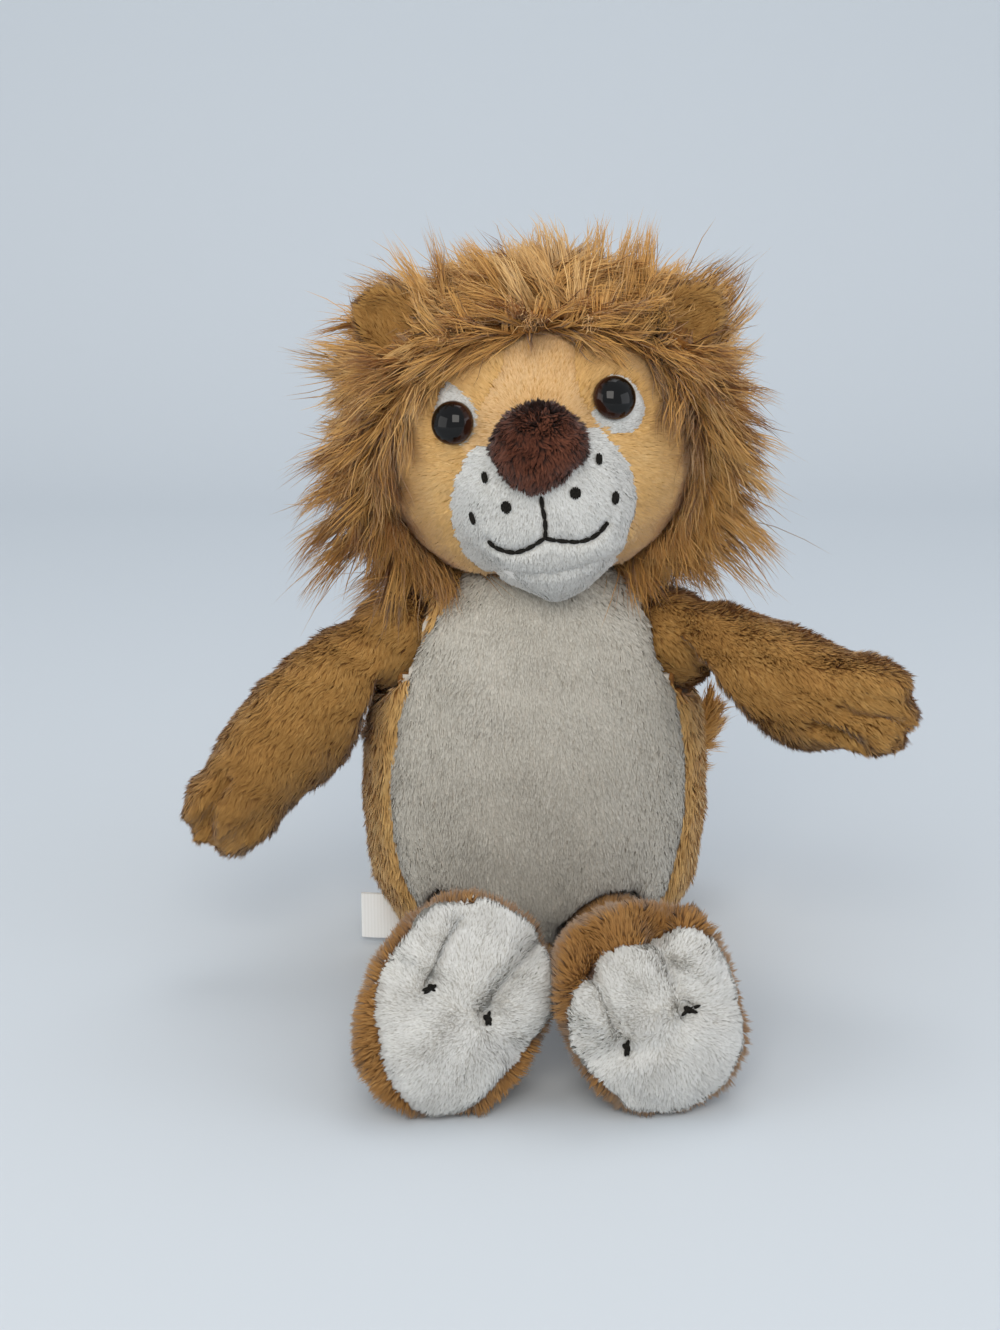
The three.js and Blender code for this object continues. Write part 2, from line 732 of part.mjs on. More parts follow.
function armForm(name, sign, grow, facets = skinFacets) {
  const place = armPlace(name, sign);
  const [around, ringCount] = facets.limb;
  const rings = smoothProfile(armProfileShares, ringCount).map((row) => ellipseRing(
    new THREE.Vector3(row.x * (armLength + grow), 0, armBow[name] * Math.sin(Math.PI * row.x)), Z, Y,
    (row.y * armWidth) / 2 + grow, (row.z * armThickness) / 2 + grow, around,
  ));
  const tip = new THREE.Vector3(armLength + grow, 0, 0);
  const arm = solid(loft(new THREE.Vector3(), rings, tip), place);
  const root = ball(shoulders[name], shoulderRadius + grow, facets.limb);
  if (grow < 0) return unite(root, arm);
  const fingers = [-1, 0, 1].map((step) => {
    const back = Math.abs(step) * fingerSetBack;
    return solid(
      bulge([fingerLength, fingerThickness, fingerWidth].map((size) => size / 2 + grow), facets.pad),
      chain(place, move(armLength - fingerLength / 2 - back, 0, step * fingerPitch)),
    );
  });
  return unite(root, arm, ...fingers);
}

for (const { name, sign } of sides) {
  const forward = degrees(armForwardDeg[name]);
  const axis = new THREE.Vector3(-Math.sin(forward), -sign * Math.cos(forward), 0);
  const lower = armLowestDeg + armDropDeg[name];
  const raise = armHighestDeg + armDropDeg[name];
  const trimmed = (grow, facets) => armForm(name, sign, grow, facets)
    .subtract(sweptTorso(shoulders[name], axis, lower, raise, shoulderRadius, -grow, facets));
  const mouthX = shoulders[name].x - sign * (shoulderRadius - rootMouthDepth);
  const mouth = halfSpace([mouthX, 0, 0], X.clone().multiplyScalar(-sign));
  add(`arm_${name}`, cut(trimmed(0), trimmed(-plushThickness, insideFacets), mouth), brownPlush);
  add(`arm_stuffing_${name}`, trimmed(-stuffingInset, insideFacets), fibre);
}

// Paws, each in its own frame: the sole faces -Y and the toes point up
const footPlace = (name, height) => chain(
  move(footX[name], -footForward, height), turn(Z, footYawDeg), turn(X, -footTiltDeg),
  turn(Y, footLeanDeg[name]),
);

const padSpots = [
  { width: toeWidth, length: toeLength, x: 0, z: toeRise, splay: 0 },
  { width: toeWidth, length: toeLength, x: toeSpread, z: toeRise - toeDrop, splay: toeSplayDeg },
  { width: toeWidth, length: toeLength, x: -toeSpread, z: toeRise - toeDrop, splay: -toeSplayDeg },
  { width: heelWidth, length: heelLength, x: 0, z: -heelDrop, splay: 0 },
];

function pawForm(place, grow, facets = skinFacets) {
  const halfWidth = footWidth / 2 + grow;
  const halfLength = footLength / 2 + grow;
  const upper = solid(
    bulge([halfWidth, footThickness + grow, halfLength], facets.paw, footSquareness), place,
  ).intersect(halfSpace([0, -grow, 0], Y, place));
  const dome = solid(
    bulge([halfWidth * footSoleShare, soleSetBack + soleSwell + grow, halfLength * footSoleShare],
      facets.paw, soleSquareness),
    chain(place, move(soleShift, soleSetBack, 0)),
  );
  if (grow < 0) return unite(upper, dome);
  const pads = padSpots.map(({ width, length, x, z, splay }) => solid(
    bulge([width / 2 + grow, padSwell + grow, length / 2 + grow], facets.pad),
    chain(place, move(soleShift + x, 0, z), turn(Y, splay)),
  ));
  return unite(upper, dome, ...pads);
}

const footHeights = {};
for (const { name } of sides) {
  const lowest = pawForm(footPlace(name, 0), 0).boundingBox().min[2];
  footHeights[name] = -lowest - seatCutDepth;
}

// Legs: hip ball, short leg and paw, kept apart from the other leg by the parting plane
function legForm(name, sign, grow, facets = skinFacets) {
  const place = footPlace(name, footHeights[name]);
  const hip = hips[name];
  const ankle = new THREE.Vector3(0, footThickness / 2, -footLength * ankleDropShare)
    .applyMatrix4(place);
  const along = ankle.clone().sub(hip).normalize();
  const across = new THREE.Vector3().crossVectors(along, Z).normalize();
  const up = new THREE.Vector3().crossVectors(across, along);
  const radius = legRadius + grow;
  const [around, ringCount] = facets.pad;
  const rings = Array.from({ length: ringCount }, (unused, i) => ellipseRing(
    hip.clone().lerp(ankle, i / (ringCount - 1)), across, up, radius, radius, around,
  ));
  const leg = solid(loft(hip.clone().addScaledVector(along, -grow - plushThickness), rings,
    ankle.clone().addScaledVector(along, plushThickness + grow)));
  const parting = halfSpace(
    [legPartingX + sign * (seamGap / 2 - grow), 0, 0], X.clone().multiplyScalar(-sign),
  );
  return cut(unite(ball(hip, hipRadius + grow, facets.limb), leg, pawForm(place, grow, facets)),
    below(-grow), parting);
}

for (const { name, sign } of sides) {
  const place = footPlace(name, footHeights[name]);
  const lift = X.clone().negate();
  const trimmed = (grow, facets) => legForm(name, sign, grow, facets)
    .subtract(sweptTorso(hips[name], lift, -hipDropDeg, hipLiftDeg, hipRadius, -grow, facets));
  const soleSide = (offset) => halfSpace([0, offset, 0], Y.clone().negate(), place);
  const mouth = halfSpace([0, hips[name].y + hipRadius - rootMouthDepth, 0], Y);
  const skin = cut(trimmed(0), trimmed(-plushThickness, insideFacets), mouth);
  add(`leg_${name}`, skin.subtract(soleSide(seamGap / 2)), brownPlush);
  add(`sole_${name}`, skin.intersect(soleSide(-seamGap / 2)), whitePlush);
  add(`leg_stuffing_${name}`, trimmed(-stuffingInset, insideFacets), fibre);

  // Ties: a short black stitch pulls the sole in between each pair of toes
  const solePad = pawForm(place, seamGap);
  const tieDepth = soleSwell + tieDiameter / 2 + seamGap;
  [-1, 1].forEach((step, index) => {
    const spot = move(soleShift + (step * toeSpread) / 2, -tieDepth, toeRise - toeLength * tieRiseShare);
    const knot = solid(bulge([tieLength / 2, tieDiameter / 2, tieDiameter / 2], knotFacets),
      chain(place, spot));
    add(`toe_tie_${name}_${index + 1}`, knot.subtract(solePad), blackThread);
  });
}

// Tail: a thin stuffed tube that curls round to the lion's left, with a tuft at its end
const tailPoints = tailPathShares.map(([x, y, z]) => tailRoot.clone()
  .add(new THREE.Vector3(x * tailReach, y * tailBow, z * tailRise)));
const tailEnd = tailPoints[tailPoints.length - 1];
const tailHeading = tailEnd.clone().sub(tailPoints[tailPoints.length - 2]).normalize();
add('tail_cord', unite(
  ball(tailRoot, tailRootRadius, [smallAround, smallDown]),
  tube(tailPoints, tailRadius, smallAround, smallDown),
), brownPlush);

const tuftRadii = [tailTuftRadius, tailTuftRadius, tailTuftLength / 2];
const tuftPlace = chain(
  move(tailEnd.x, tailEnd.y, tailEnd.z),
  new THREE.Matrix4().makeRotationFromQuaternion(
    new THREE.Quaternion().setFromUnitVectors(Z, tailHeading)),
  move(0, 0, tailTuftLength * tuftSitShare),
);
add('tail_tuft', cut(
  solid(bulge(tuftRadii, skinFacets.pad), tuftPlace),
  tube(tailPoints, tailRadius + seamGap, smallAround, smallDown),
  ball(tailEnd, tailRadius + seamGap, [smallAround, smallDown]),
), maneFur);

// Care label: a folded satin strip, sewn by its two ends into the side seam
const labelOuter = labelFoldGap / 2 + labelThickness;
const labelInner = labelFoldGap / 2;
const labelFold = new THREE.Shape();
labelFold.moveTo(0, -labelOuter);
labelFold.lineTo(labelLength, -labelOuter);
labelFold.absarc(labelLength, 0, labelOuter, -Math.PI / 2, Math.PI / 2);
labelFold.lineTo(0, labelOuter);
labelFold.lineTo(0, labelInner);
labelFold.lineTo(labelLength, labelInner);
labelFold.absarc(labelLength, 0, labelInner, Math.PI / 2, -Math.PI / 2, true);
labelFold.lineTo(0, -labelInner);
labelFold.closePath();
const labelStrip = new THREE.ExtrudeGeometry(labelFold, {
  depth: labelHeight, bevelEnabled: false, curveSegments: smallDown,
});
const labelSeamX = -torsoWidth / 2 + labelLength;
add('care_label', solid(labelStrip,
  chain(move(labelSeamX, -labelForward, labelBottom), turn(Z, 180))).subtract(torsoForm(seamGap)),
satin);

export default group;
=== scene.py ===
# %% [markdown]
# # A plush lion, sewn and combed in Blender
# The toy is stuffed plush: fabric panels with a short pile, a mane of long fur, two plastic eyes and
# some black thread. The frame holds its plain solids at their real size and place. Each cell below
# turns one of them into the finished piece, or shows how a finish is made.

# %% Load the frame
import math

import bmesh
import bpy
import numpy as np
from mathutils import Matrix, Vector
from mathutils.bvhtree import BVHTree
from mathutils.kdtree import KDTree


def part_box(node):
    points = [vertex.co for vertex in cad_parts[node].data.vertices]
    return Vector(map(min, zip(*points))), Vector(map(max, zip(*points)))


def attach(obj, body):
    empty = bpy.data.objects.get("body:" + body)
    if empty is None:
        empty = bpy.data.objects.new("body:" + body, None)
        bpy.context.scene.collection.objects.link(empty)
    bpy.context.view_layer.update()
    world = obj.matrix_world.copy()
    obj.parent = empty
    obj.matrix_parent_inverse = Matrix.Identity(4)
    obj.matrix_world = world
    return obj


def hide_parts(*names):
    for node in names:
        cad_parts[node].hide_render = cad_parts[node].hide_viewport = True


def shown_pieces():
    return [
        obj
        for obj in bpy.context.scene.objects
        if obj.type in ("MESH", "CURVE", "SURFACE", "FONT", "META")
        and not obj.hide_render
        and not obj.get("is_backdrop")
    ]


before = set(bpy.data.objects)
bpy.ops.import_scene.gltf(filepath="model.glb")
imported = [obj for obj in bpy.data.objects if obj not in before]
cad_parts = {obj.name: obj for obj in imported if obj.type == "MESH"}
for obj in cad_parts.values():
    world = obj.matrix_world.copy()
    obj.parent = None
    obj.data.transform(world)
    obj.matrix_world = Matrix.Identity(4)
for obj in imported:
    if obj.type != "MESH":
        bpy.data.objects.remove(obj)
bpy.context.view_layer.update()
mm = 0.001
print("solids in the frame:", len(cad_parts))

# %% [markdown]
# ## Camera
# The picture was taken from a little above the head, tilted down, by a camera about 0.6 m away. Its
# lens follows from the real size of the plastic eyes and from how much lower in the picture the feet
# sit than the body. The frame is taller than it is wide, so the sensor is measured up its long side.

# %% Camera at the picture's viewing angle
camera_place = Vector((-10.3, -602.0, 243.0)) * mm
camera_pitch_deg = 14.56
sensor_height = 36.0
focal_length = 56.8


def placed(name, data):
    """Puts a mesh, a light or a camera into the scene as an object."""
    thing = bpy.data.objects.new(name, data)
    bpy.context.scene.collection.objects.link(thing)
    return thing


camera = placed("camera", bpy.data.cameras.new("camera"))
bpy.context.scene.camera = camera
camera.location = camera_place
camera.rotation_euler = (math.radians(90 - camera_pitch_deg), 0, 0)
camera.data.sensor_fit = "VERTICAL"
camera.data.sensor_height = sensor_height
camera.data.lens = focal_length
camera.data.clip_start = 0.01
print("camera height", round(camera_place.z, 3), "m")

# %% [markdown]
# ## Points of the picture
# Seams, stitches and colour borders lie where the photograph shows them. Each is a short list of picture
# points. A point becomes a sight line from the camera, and where that line meets a skin is the place.

# %% Sight lines
picture_width, picture_height = 1000, 1330
pixels_per_slope = focal_length / sensor_height * picture_height
camera_turn = camera.rotation_euler.to_matrix()


def picture_points(places):
    """Where an array of places is seen in the picture, in its pixels."""
    seen = (np.asarray(places) - np.array(camera_place)) @ np.array(camera_turn)
    return np.stack([picture_width / 2 - pixels_per_slope * seen[:, 0] / seen[:, 2],
                     picture_height / 2 + pixels_per_slope * seen[:, 1] / seen[:, 2]], 1)


def sight_line(x, y):
    """The direction from the camera through one point of the picture."""
    ray = Vector(((x - picture_width / 2) / pixels_per_slope,
                  (picture_height / 2 - y) / pixels_per_slope, -1))
    return (camera_turn @ ray).normalized()


def smooth_line(points, closed=False, step=3.0):
    """A Catmull-Rom curve through points, sampled about every step."""
    points = np.array(points, float)
    count = len(points)
    line = []
    for start in range(count if closed else count - 1):
        before, here, there, after = (
            points[i % count] if closed else points[min(max(i, 0), count - 1)]
            for i in range(start - 1, start + 3))
        pieces = max(1, int(np.linalg.norm(there - here) / step))
        for share in np.arange(pieces) / pieces:
            line.append(here + 0.5 * share * (there - before + share * (
                2 * before - 5 * here + 4 * there - after + share * (3 * (here - there) + after - before))))
    return line if closed else line + [points[-1]]


def skin_tree(piece):
    """A search tree over a piece's faces."""
    data = piece.data
    return BVHTree.FromPolygons([v.co.copy() for v in data.vertices],
                                [list(p.vertices) for p in data.polygons])


def spot_on(tree, point):
    """The place and the normal where one point of the picture lies on a skin."""
    return tree.ray_cast(camera_place, sight_line(*point))[:2]


def line_on(tree, points, step=3.0):
    """Places and normals where a smooth line of the picture lies on a skin."""
    hits = [spot_on(tree, point) for point in smooth_line(points, step=step)]
    return [hit for hit in hits if hit[0] is not None]


def places_on(tree, lines):
    """The places where several smooth lines of the picture lie on a skin."""
    return [place for line in lines for place, normal in line_on(tree, line)]


print("one pixel at the face is", round(0.56 / pixels_per_slope / mm, 2), "mm")

# %% [markdown]
# ## Colours and nodes
# Colours are written as sRGB hex, as a paint chart gives them, and turned to the linear values that
# Blender mixes in. One small function adds a shader node, sets it and links it, so every material
# below reads as a short list.

# %% Colour and node helpers
def linear(hex_colour):
    """An sRGB hex colour as linear red, green, blue and alpha."""
    parts = [int(hex_colour[i:i + 2], 16) / 255 for i in (1, 3, 5)]
    straight = [c / 12.92 if c <= 0.04045 else ((c + 0.055) / 1.055) ** 2.4 for c in parts]
    return (*straight, 1.0)


def add_node(tree, kind, links=None, **settings):
    """Adds a node, sets its properties or inputs by name, and links inputs to other sockets."""
    node = tree.nodes.new(kind)
    for name, value in settings.items():
        if hasattr(node, name):
            setattr(node, name, value)
        else:
            node.inputs[name.replace("_", " ")].default_value = value
    for name, socket in (links or {}).items():
        tree.links.new(socket, node.inputs[name])
    return node


def new_material(name, **surface):
    """A material with a Principled surface. Values that are the same all over are set on its sockets."""
    material = bpy.data.materials.new(name)
    material.use_nodes = True
    tree = material.node_tree
    shader = tree.nodes["Principled BSDF"]
    for socket, value in surface.items():
        shader.inputs[socket.replace("_", " ")].default_value = value
    return material, tree, shader


def colour_ramp(tree, factor, stops):
    """A colour ramp with stops of (place, hex colour)."""
    ramp = add_node(tree, "ShaderNodeValToRGB", {"Fac": factor})
    elements = ramp.color_ramp.elements
    while len(elements) < len(stops):
        elements.new(0.5)
    for element, (place, colour) in zip(elements, stops):
        element.position = place
        element.color = linear(colour)
    return ramp.outputs["Color"]


print("a mid brown is", [round(c, 3) for c in linear("#9c6d38")])

# %% [markdown]
# ## Studio
# The toy stands on a pale sweep of paper that curves up behind it. The floor is pale and slightly blue,
# as in the picture. A big soft light hangs in front and above, two weaker ones fill the sides, a fourth
# lights the mane from above and behind, and the pale world lights the rest, so that a colour renders
# about as it is written.

# %% Paper sweep, lights and world
sweep_half_width = 1.6
sweep_front = -1.2
sweep_back = 0.75
sweep_bend = 0.35
sweep_top = 1.9

sweep_bend_steps = 12


def extruded(shape, edges, offset):
    """Extrudes edges of a bmesh, moves the new ones and returns them."""
    grown = bmesh.ops.extrude_edge_only(shape, edges=edges)["geom"]
    bmesh.ops.translate(shape, vec=offset, verts=[v for v in grown if isinstance(v, bmesh.types.BMVert)])
    return [e for e in grown if isinstance(e, bmesh.types.BMEdge)]


def placed_mesh(name, built):
    """Puts what a bmesh holds into the scene as an object, and frees the bmesh."""
    data = bpy.data.meshes.new(name)
    built.to_mesh(data)
    built.free()
    return placed(name, data)


def smoothed(piece):
    """Shades a piece smoothly."""
    for polygon in piece.data.polygons:
        polygon.use_smooth = True
    return piece


sweep_mesh = bmesh.new()
row = [sweep_mesh.verts.new((x, sweep_front, 0)) for x in (-sweep_half_width, sweep_half_width)]
edges = extruded(sweep_mesh, [sweep_mesh.edges.new(row)], (0, sweep_back - sweep_front, 0))
for step in range(sweep_bend_steps):
    low, high = (math.radians(90 * s / sweep_bend_steps) for s in (step, step + 1))
    edges = extruded(sweep_mesh, edges, (0, sweep_bend * (math.sin(high) - math.sin(low)),
                                         sweep_bend * (math.cos(low) - math.cos(high))))
extruded(sweep_mesh, edges, (0, 0, sweep_top))
sweep = smoothed(placed_mesh("paper_sweep", sweep_mesh))

paper, tree, shader = new_material("matt_background_paper", Roughness=0.9)
shader.inputs["Base Color"].default_value = linear("#d3d9de")
sweep.data.materials.append(paper)
sweep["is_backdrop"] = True


def soft_light(name, place, target, size, power, colour):
    """A square area light that faces a point."""
    data = bpy.data.lights.new(name, "AREA")
    data.size = size
    data.energy = power
    data.color = linear(colour)[:3]
    light = placed(name, data)
    light.location = place
    light.rotation_euler = (Vector(target) - Vector(place)).to_track_quat("-Z", "Y").to_euler()


aim = (0, -0.03, 0.1)
soft_light("key_light", (-0.1, -1.2, 0.85), aim, size=0.75, power=7.6, colour="#fffaf2")
soft_light("left_fill", (-1.0, -0.5, 0.3), aim, size=0.8, power=2.6, colour="#fbfaf6")
soft_light("right_fill", (1.0, -0.5, 0.3), aim, size=0.8, power=2.6, colour="#f6f8fd")
soft_light("top_light", (0.1, 0.35, 1.2), aim, size=0.6, power=2.2, colour="#ffffff")

world = bpy.data.worlds.new("pale_room")
bpy.context.scene.world = world
world.use_nodes = True
world.node_tree.nodes["Background"].inputs["Color"].default_value = linear("#e8edf4")
world.node_tree.nodes["Background"].inputs["Strength"].default_value = 0.72
bpy.context.scene.view_settings.view_transform = "Standard"

# %% [markdown]
# ## From plain solids to sewn skins
# A stuffed toy has no flat facets. Copies of the plain solids are joined, a voxel remesh melts them into
# one skin of even quads, and smoothing irons the facets out. Loose inner skins are thrown away. The skin
# is then split again into its fabric panels by asking, for each small face, which plain solid is nearest.

# %% Skin helpers
def joined_copy(name, node_names):
    """One mesh object that holds merged copies of some solids of the frame."""
    melt = bmesh.new()
    for node_name in node_names:
        melt.from_mesh(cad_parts[node_name].data)
    bmesh.ops.remove_doubles(melt, verts=melt.verts, dist=1e-6)
    return placed_mesh(name, melt)


def apply_modifiers(piece):
    """Replaces a piece's mesh by what its modifiers make of it."""
    bpy.context.view_layer.update()
    graph = bpy.context.evaluated_depsgraph_get()
    baked = bpy.data.meshes.new_from_object(piece.evaluated_get(graph))
    piece.modifiers.clear()
    piece.data = baked


def keep_largest(skin):
    """Deletes every loose island but the one with the most faces."""
    unseen = set(skin.faces)
    islands = []
    while unseen:
        stack = [unseen.pop()]
        island = set(stack)
        while stack:
            for edge in stack.pop().edges:
                for face in edge.link_faces:
                    if face in unseen:
                        unseen.remove(face)
                        island.add(face)
                        stack.append(face)
        islands.append(island)
    islands.sort(key=len, reverse=True)
    extra = [face for island in islands[1:] for face in island]
    bmesh.ops.delete(skin, geom=extra, context="FACES")


def sewn_skin(name, node_names, voxel, rounds, inset=0.0, subdivided=True):
    """A smooth closed skin round some solids. inset leaves room for the pile: it is a depth, or a
    function that gives the depth from a place and its normal."""
    piece = joined_copy(name, node_names)
    remesh = piece.modifiers.new("even_quads", "REMESH")
    remesh.mode = "VOXEL"
    remesh.voxel_size = voxel
    apply_modifiers(piece)
    skin = bmesh.new()
    skin.from_mesh(piece.data)
    keep_largest(skin)
    for _ in range(rounds):
        bmesh.ops.smooth_vert(skin, verts=skin.verts, factor=0.5,
                              use_axis_x=True, use_axis_y=True, use_axis_z=True)
    skin.normal_update()
    for vertex in skin.verts:
        depth = inset(vertex.co, vertex.normal) if callable(inset) else inset
        vertex.co -= vertex.normal * depth
    skin.to_mesh(piece.data)
    skin.free()
    if subdivided:
        finer = piece.modifiers.new("finer", "SUBSURF")
        finer.levels = finer.render_levels = 1
        apply_modifiers(piece)
    print(name, len(piece.data.polygons), "faces")
    return smoothed(piece)


def inside_outline(points, outline):
    """Which points of the picture lie inside a closed outline."""
    line = np.array(smooth_line(outline, closed=True))
    inside = np.zeros(len(points), bool)
    for (x0, y0), (x1, y1) in zip(line, np.roll(line, -1, axis=0)):
        crosses = (y0 > points[:, 1]) != (y1 > points[:, 1])
        if y0 != y1:
            reach = x0 + (points[:, 1] - y0) * (x1 - x0) / (y1 - y0)
            inside ^= crosses & (points[:, 0] < reach)
    return inside


def seen_faces(whole):
    """Which faces of a skin the camera sees past the rest of the skin, and all their centres."""
    tree = skin_tree(whole)
    centres = np.array([p.center for p in whole.data.polygons])
    lift = 0.6 * mm
    seen = np.zeros(len(centres), bool)
    for number, polygon in enumerate(whole.data.polygons):
        to_camera = (camera_place - polygon.center).normalized()
        if polygon.normal.dot(to_camera) > 0:
            seen[number] = tree.ray_cast(polygon.center + polygon.normal * lift, to_camera)[0] is None
    return seen, centres


def panel_labels(whole, groups, outlines):
    """The fabric panel of each face. Where the camera sees a face, an outline of the picture decides, and
    elsewhere the nearest plain solid does. groups maps a panel's name to the solids it follows."""
    owner = {node_name: panel for panel, names in groups.items() for node_name in names}
    trees = {node_name: skin_tree(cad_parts[node_name]) for node_name in owner}
    seen, centres = seen_faces(whole)
    at = picture_points(centres)
    drawn = {panel: seen & inside_outline(at, outline) for panel, outline in outlines.items()}
    plain = [node_name for node_name in trees if owner[node_name] not in outlines]
    labels = []
    for number, place in enumerate(centres):
        marked = next((panel for panel, hit in drawn.items() if hit[number]), None)
        if marked is None:
            choices = plain if seen[number] and plain else trees
            marked = owner[min(choices, key=lambda n: trees[n].find_nearest(place)[3])]
        labels.append(marked)
    return labels


border_rounds = 4


def most_common(votes):
    """The label with the most votes, and of equal ones the first by name."""
    return max(sorted(set(votes)), key=votes.count)


def whole_patches(whole, labels):
    """Smooths the borders between panels, and gives stray faces to the panel round them, so that each
    panel is one patch of cloth."""
    sharing = {}
    for polygon in whole.data.polygons:
        for edge in polygon.edge_keys:
            sharing.setdefault(edge, []).append(polygon.index)
    beside = [[] for _ in labels]
    for first, second in (pair for pair in sharing.values() if len(pair) == 2):
        beside[first].append(second)
        beside[second].append(first)
    for _ in range(border_rounds):
        for here, others in enumerate(beside):
            votes = [labels[other] for other in others]
            if votes.count(most_common(votes)) > 2:
                labels[here] = most_common(votes)
    patches, patch_of = [], {}
    for start in range(len(labels)):
        if start in patch_of:
            continue
        patch, patch_of[start] = [start], len(patches)
        for here in patch:
            for other in beside[here]:
                if other not in patch_of and labels[other] == labels[start]:
                    patch_of[other] = len(patches)
                    patch.append(other)
        patches.append(patch)
    largest = {labels[patch[0]]: len(patch) for patch in sorted(patches, key=len)}
    for number, patch in enumerate(patches):
        if len(patch) < largest[labels[patch[0]]]:
            around = [labels[other] for here in patch for other in beside[here] if patch_of[other] != number]
            for here in patch:
                labels[here] = most_common(around)
    return labels


def point_tree(points):
    """A search tree over points."""
    tree = KDTree(len(points))
    for number, point in enumerate(points):
        tree.insert(point, number)
    tree.balance()
    return tree


def draw_in(piece, places, depth, width):
    """Moves a skin inwards near some places, as a line of stitches draws stuffed cloth in."""
    near = point_tree(places)
    normals = [v.normal.copy() for v in piece.data.vertices]
    for vertex, normal in zip(piece.data.vertices, normals):
        distance = near.find(vertex.co)[2]
        if distance < width:
            vertex.co -= normal * depth * (1 + math.cos(math.pi * distance / width)) / 2


def stitch_lines(piece, lines, depth, width):
    """Draws a skin in along lines of the picture."""
    draw_in(piece, places_on(skin_tree(piece), lines), depth, width)


def cut_panels(whole, groups, outlines=None, seam_depth=0.7 * mm, seam_width=2.4 * mm):
    """Cuts a skin into its fabric panels and draws the seams between them in."""
    labels = whole_patches(whole, panel_labels(whole, groups, outlines or {}))
    panels_at = [set() for _ in whole.data.vertices]
    for polygon, label in zip(whole.data.polygons, labels):
        for corner in polygon.vertices:
            panels_at[corner].add(label)
    seam = [v.co.copy() for v, panels in zip(whole.data.vertices, panels_at) if len(panels) > 1]
    draw_in(whole, seam, seam_depth, seam_width)
    panels = {}
    for panel_name in groups:
        panel = bmesh.new()
        panel.from_mesh(whole.data)
        panel.faces.ensure_lookup_table()
        others = [face for face in panel.faces if labels[face.index] != panel_name]
        bmesh.ops.delete(panel, geom=others, context="FACES")
        panels[panel_name] = placed_mesh(panel_name, panel)
    bpy.data.objects.remove(whole)
    return panels


print("panel borders are smoothed", border_rounds, "times")

# %% [markdown]
# ## Fur as geometry
# Real pile is thousands of fibres, so it is made as thousands of thin tapering ribbons that grow from the
# skin. Hair particles would not survive an export, and a bump map has no fuzzy outline. Each ribbon needs
# only a root, a direction, a length and a bend, so all of them are worked out at once with arrays. A
# short hair is one thin triangle, and a long one bends in steps. The UV map runs along the hair: U picks
# its tint and V goes from its root to its tip.

# %% Fur helpers
fur_top = 224.0 * mm
fur_back = 70.0 * mm
fur_bottom = 0.3 * mm
limit_softness = 7.0 * mm


def wavy(points, size, seed):
    """Smooth random vectors over space, between about -1 and 1, that change over a length of size."""
    draw = np.random.default_rng(seed)
    total = np.zeros_like(points)
    waves = 6
    for _ in range(waves):
        heading = draw.normal(size=3)
        heading /= np.linalg.norm(heading)
        phase = points @ heading * (2 * math.pi / (size * draw.uniform(0.7, 1.5)))
        total += np.sin(phase[:, None] + draw.uniform(0, 2 * math.pi, 3)) * draw.uniform(0.6, 1.0)
    return total / math.sqrt(waves)


def unit(vectors):
    """An array of vectors, each at length 1."""
    return vectors / np.maximum(np.linalg.norm(vectors, axis=1, keepdims=True), 1e-12)


def scatter(piece, per_square_mm, seed):
    """Random roots spread evenly over a skin, with the skin's smooth normal at each."""
    data = piece.data
    data.calc_loop_triangles()
    corners = np.empty(len(data.loop_triangles) * 3, np.int64)
    data.loop_triangles.foreach_get("vertices", corners)
    corners = corners.reshape(-1, 3)
    places = np.empty(len(data.vertices) * 3)
    data.vertices.foreach_get("co", places)
    places = places.reshape(-1, 3)
    normals = np.empty(len(data.vertices) * 3)
    data.vertices.foreach_get("normal", normals)
    normals = normals.reshape(-1, 3)
    a, b, c = (places[corners[:, i]] for i in range(3))
    areas = np.linalg.norm(np.cross(b - a, c - a), axis=1) / 2
    draw = np.random.default_rng(seed)
    count = int(areas.sum() / mm ** 2 * per_square_mm)
    chosen = draw.choice(len(areas), count, p=areas / areas.sum())
    u, v = draw.random((2, count))
    flip = u + v > 1
    u[flip], v[flip] = 1 - u[flip], 1 - v[flip]
    w = 1 - u - v
    shares = np.stack([w, u, v], 1)[:, :, None]
    roots = (places[corners[chosen]] * shares).sum(1)
    facing = unit((normals[corners[chosen]] * shares).sum(1))
    return roots, facing, draw


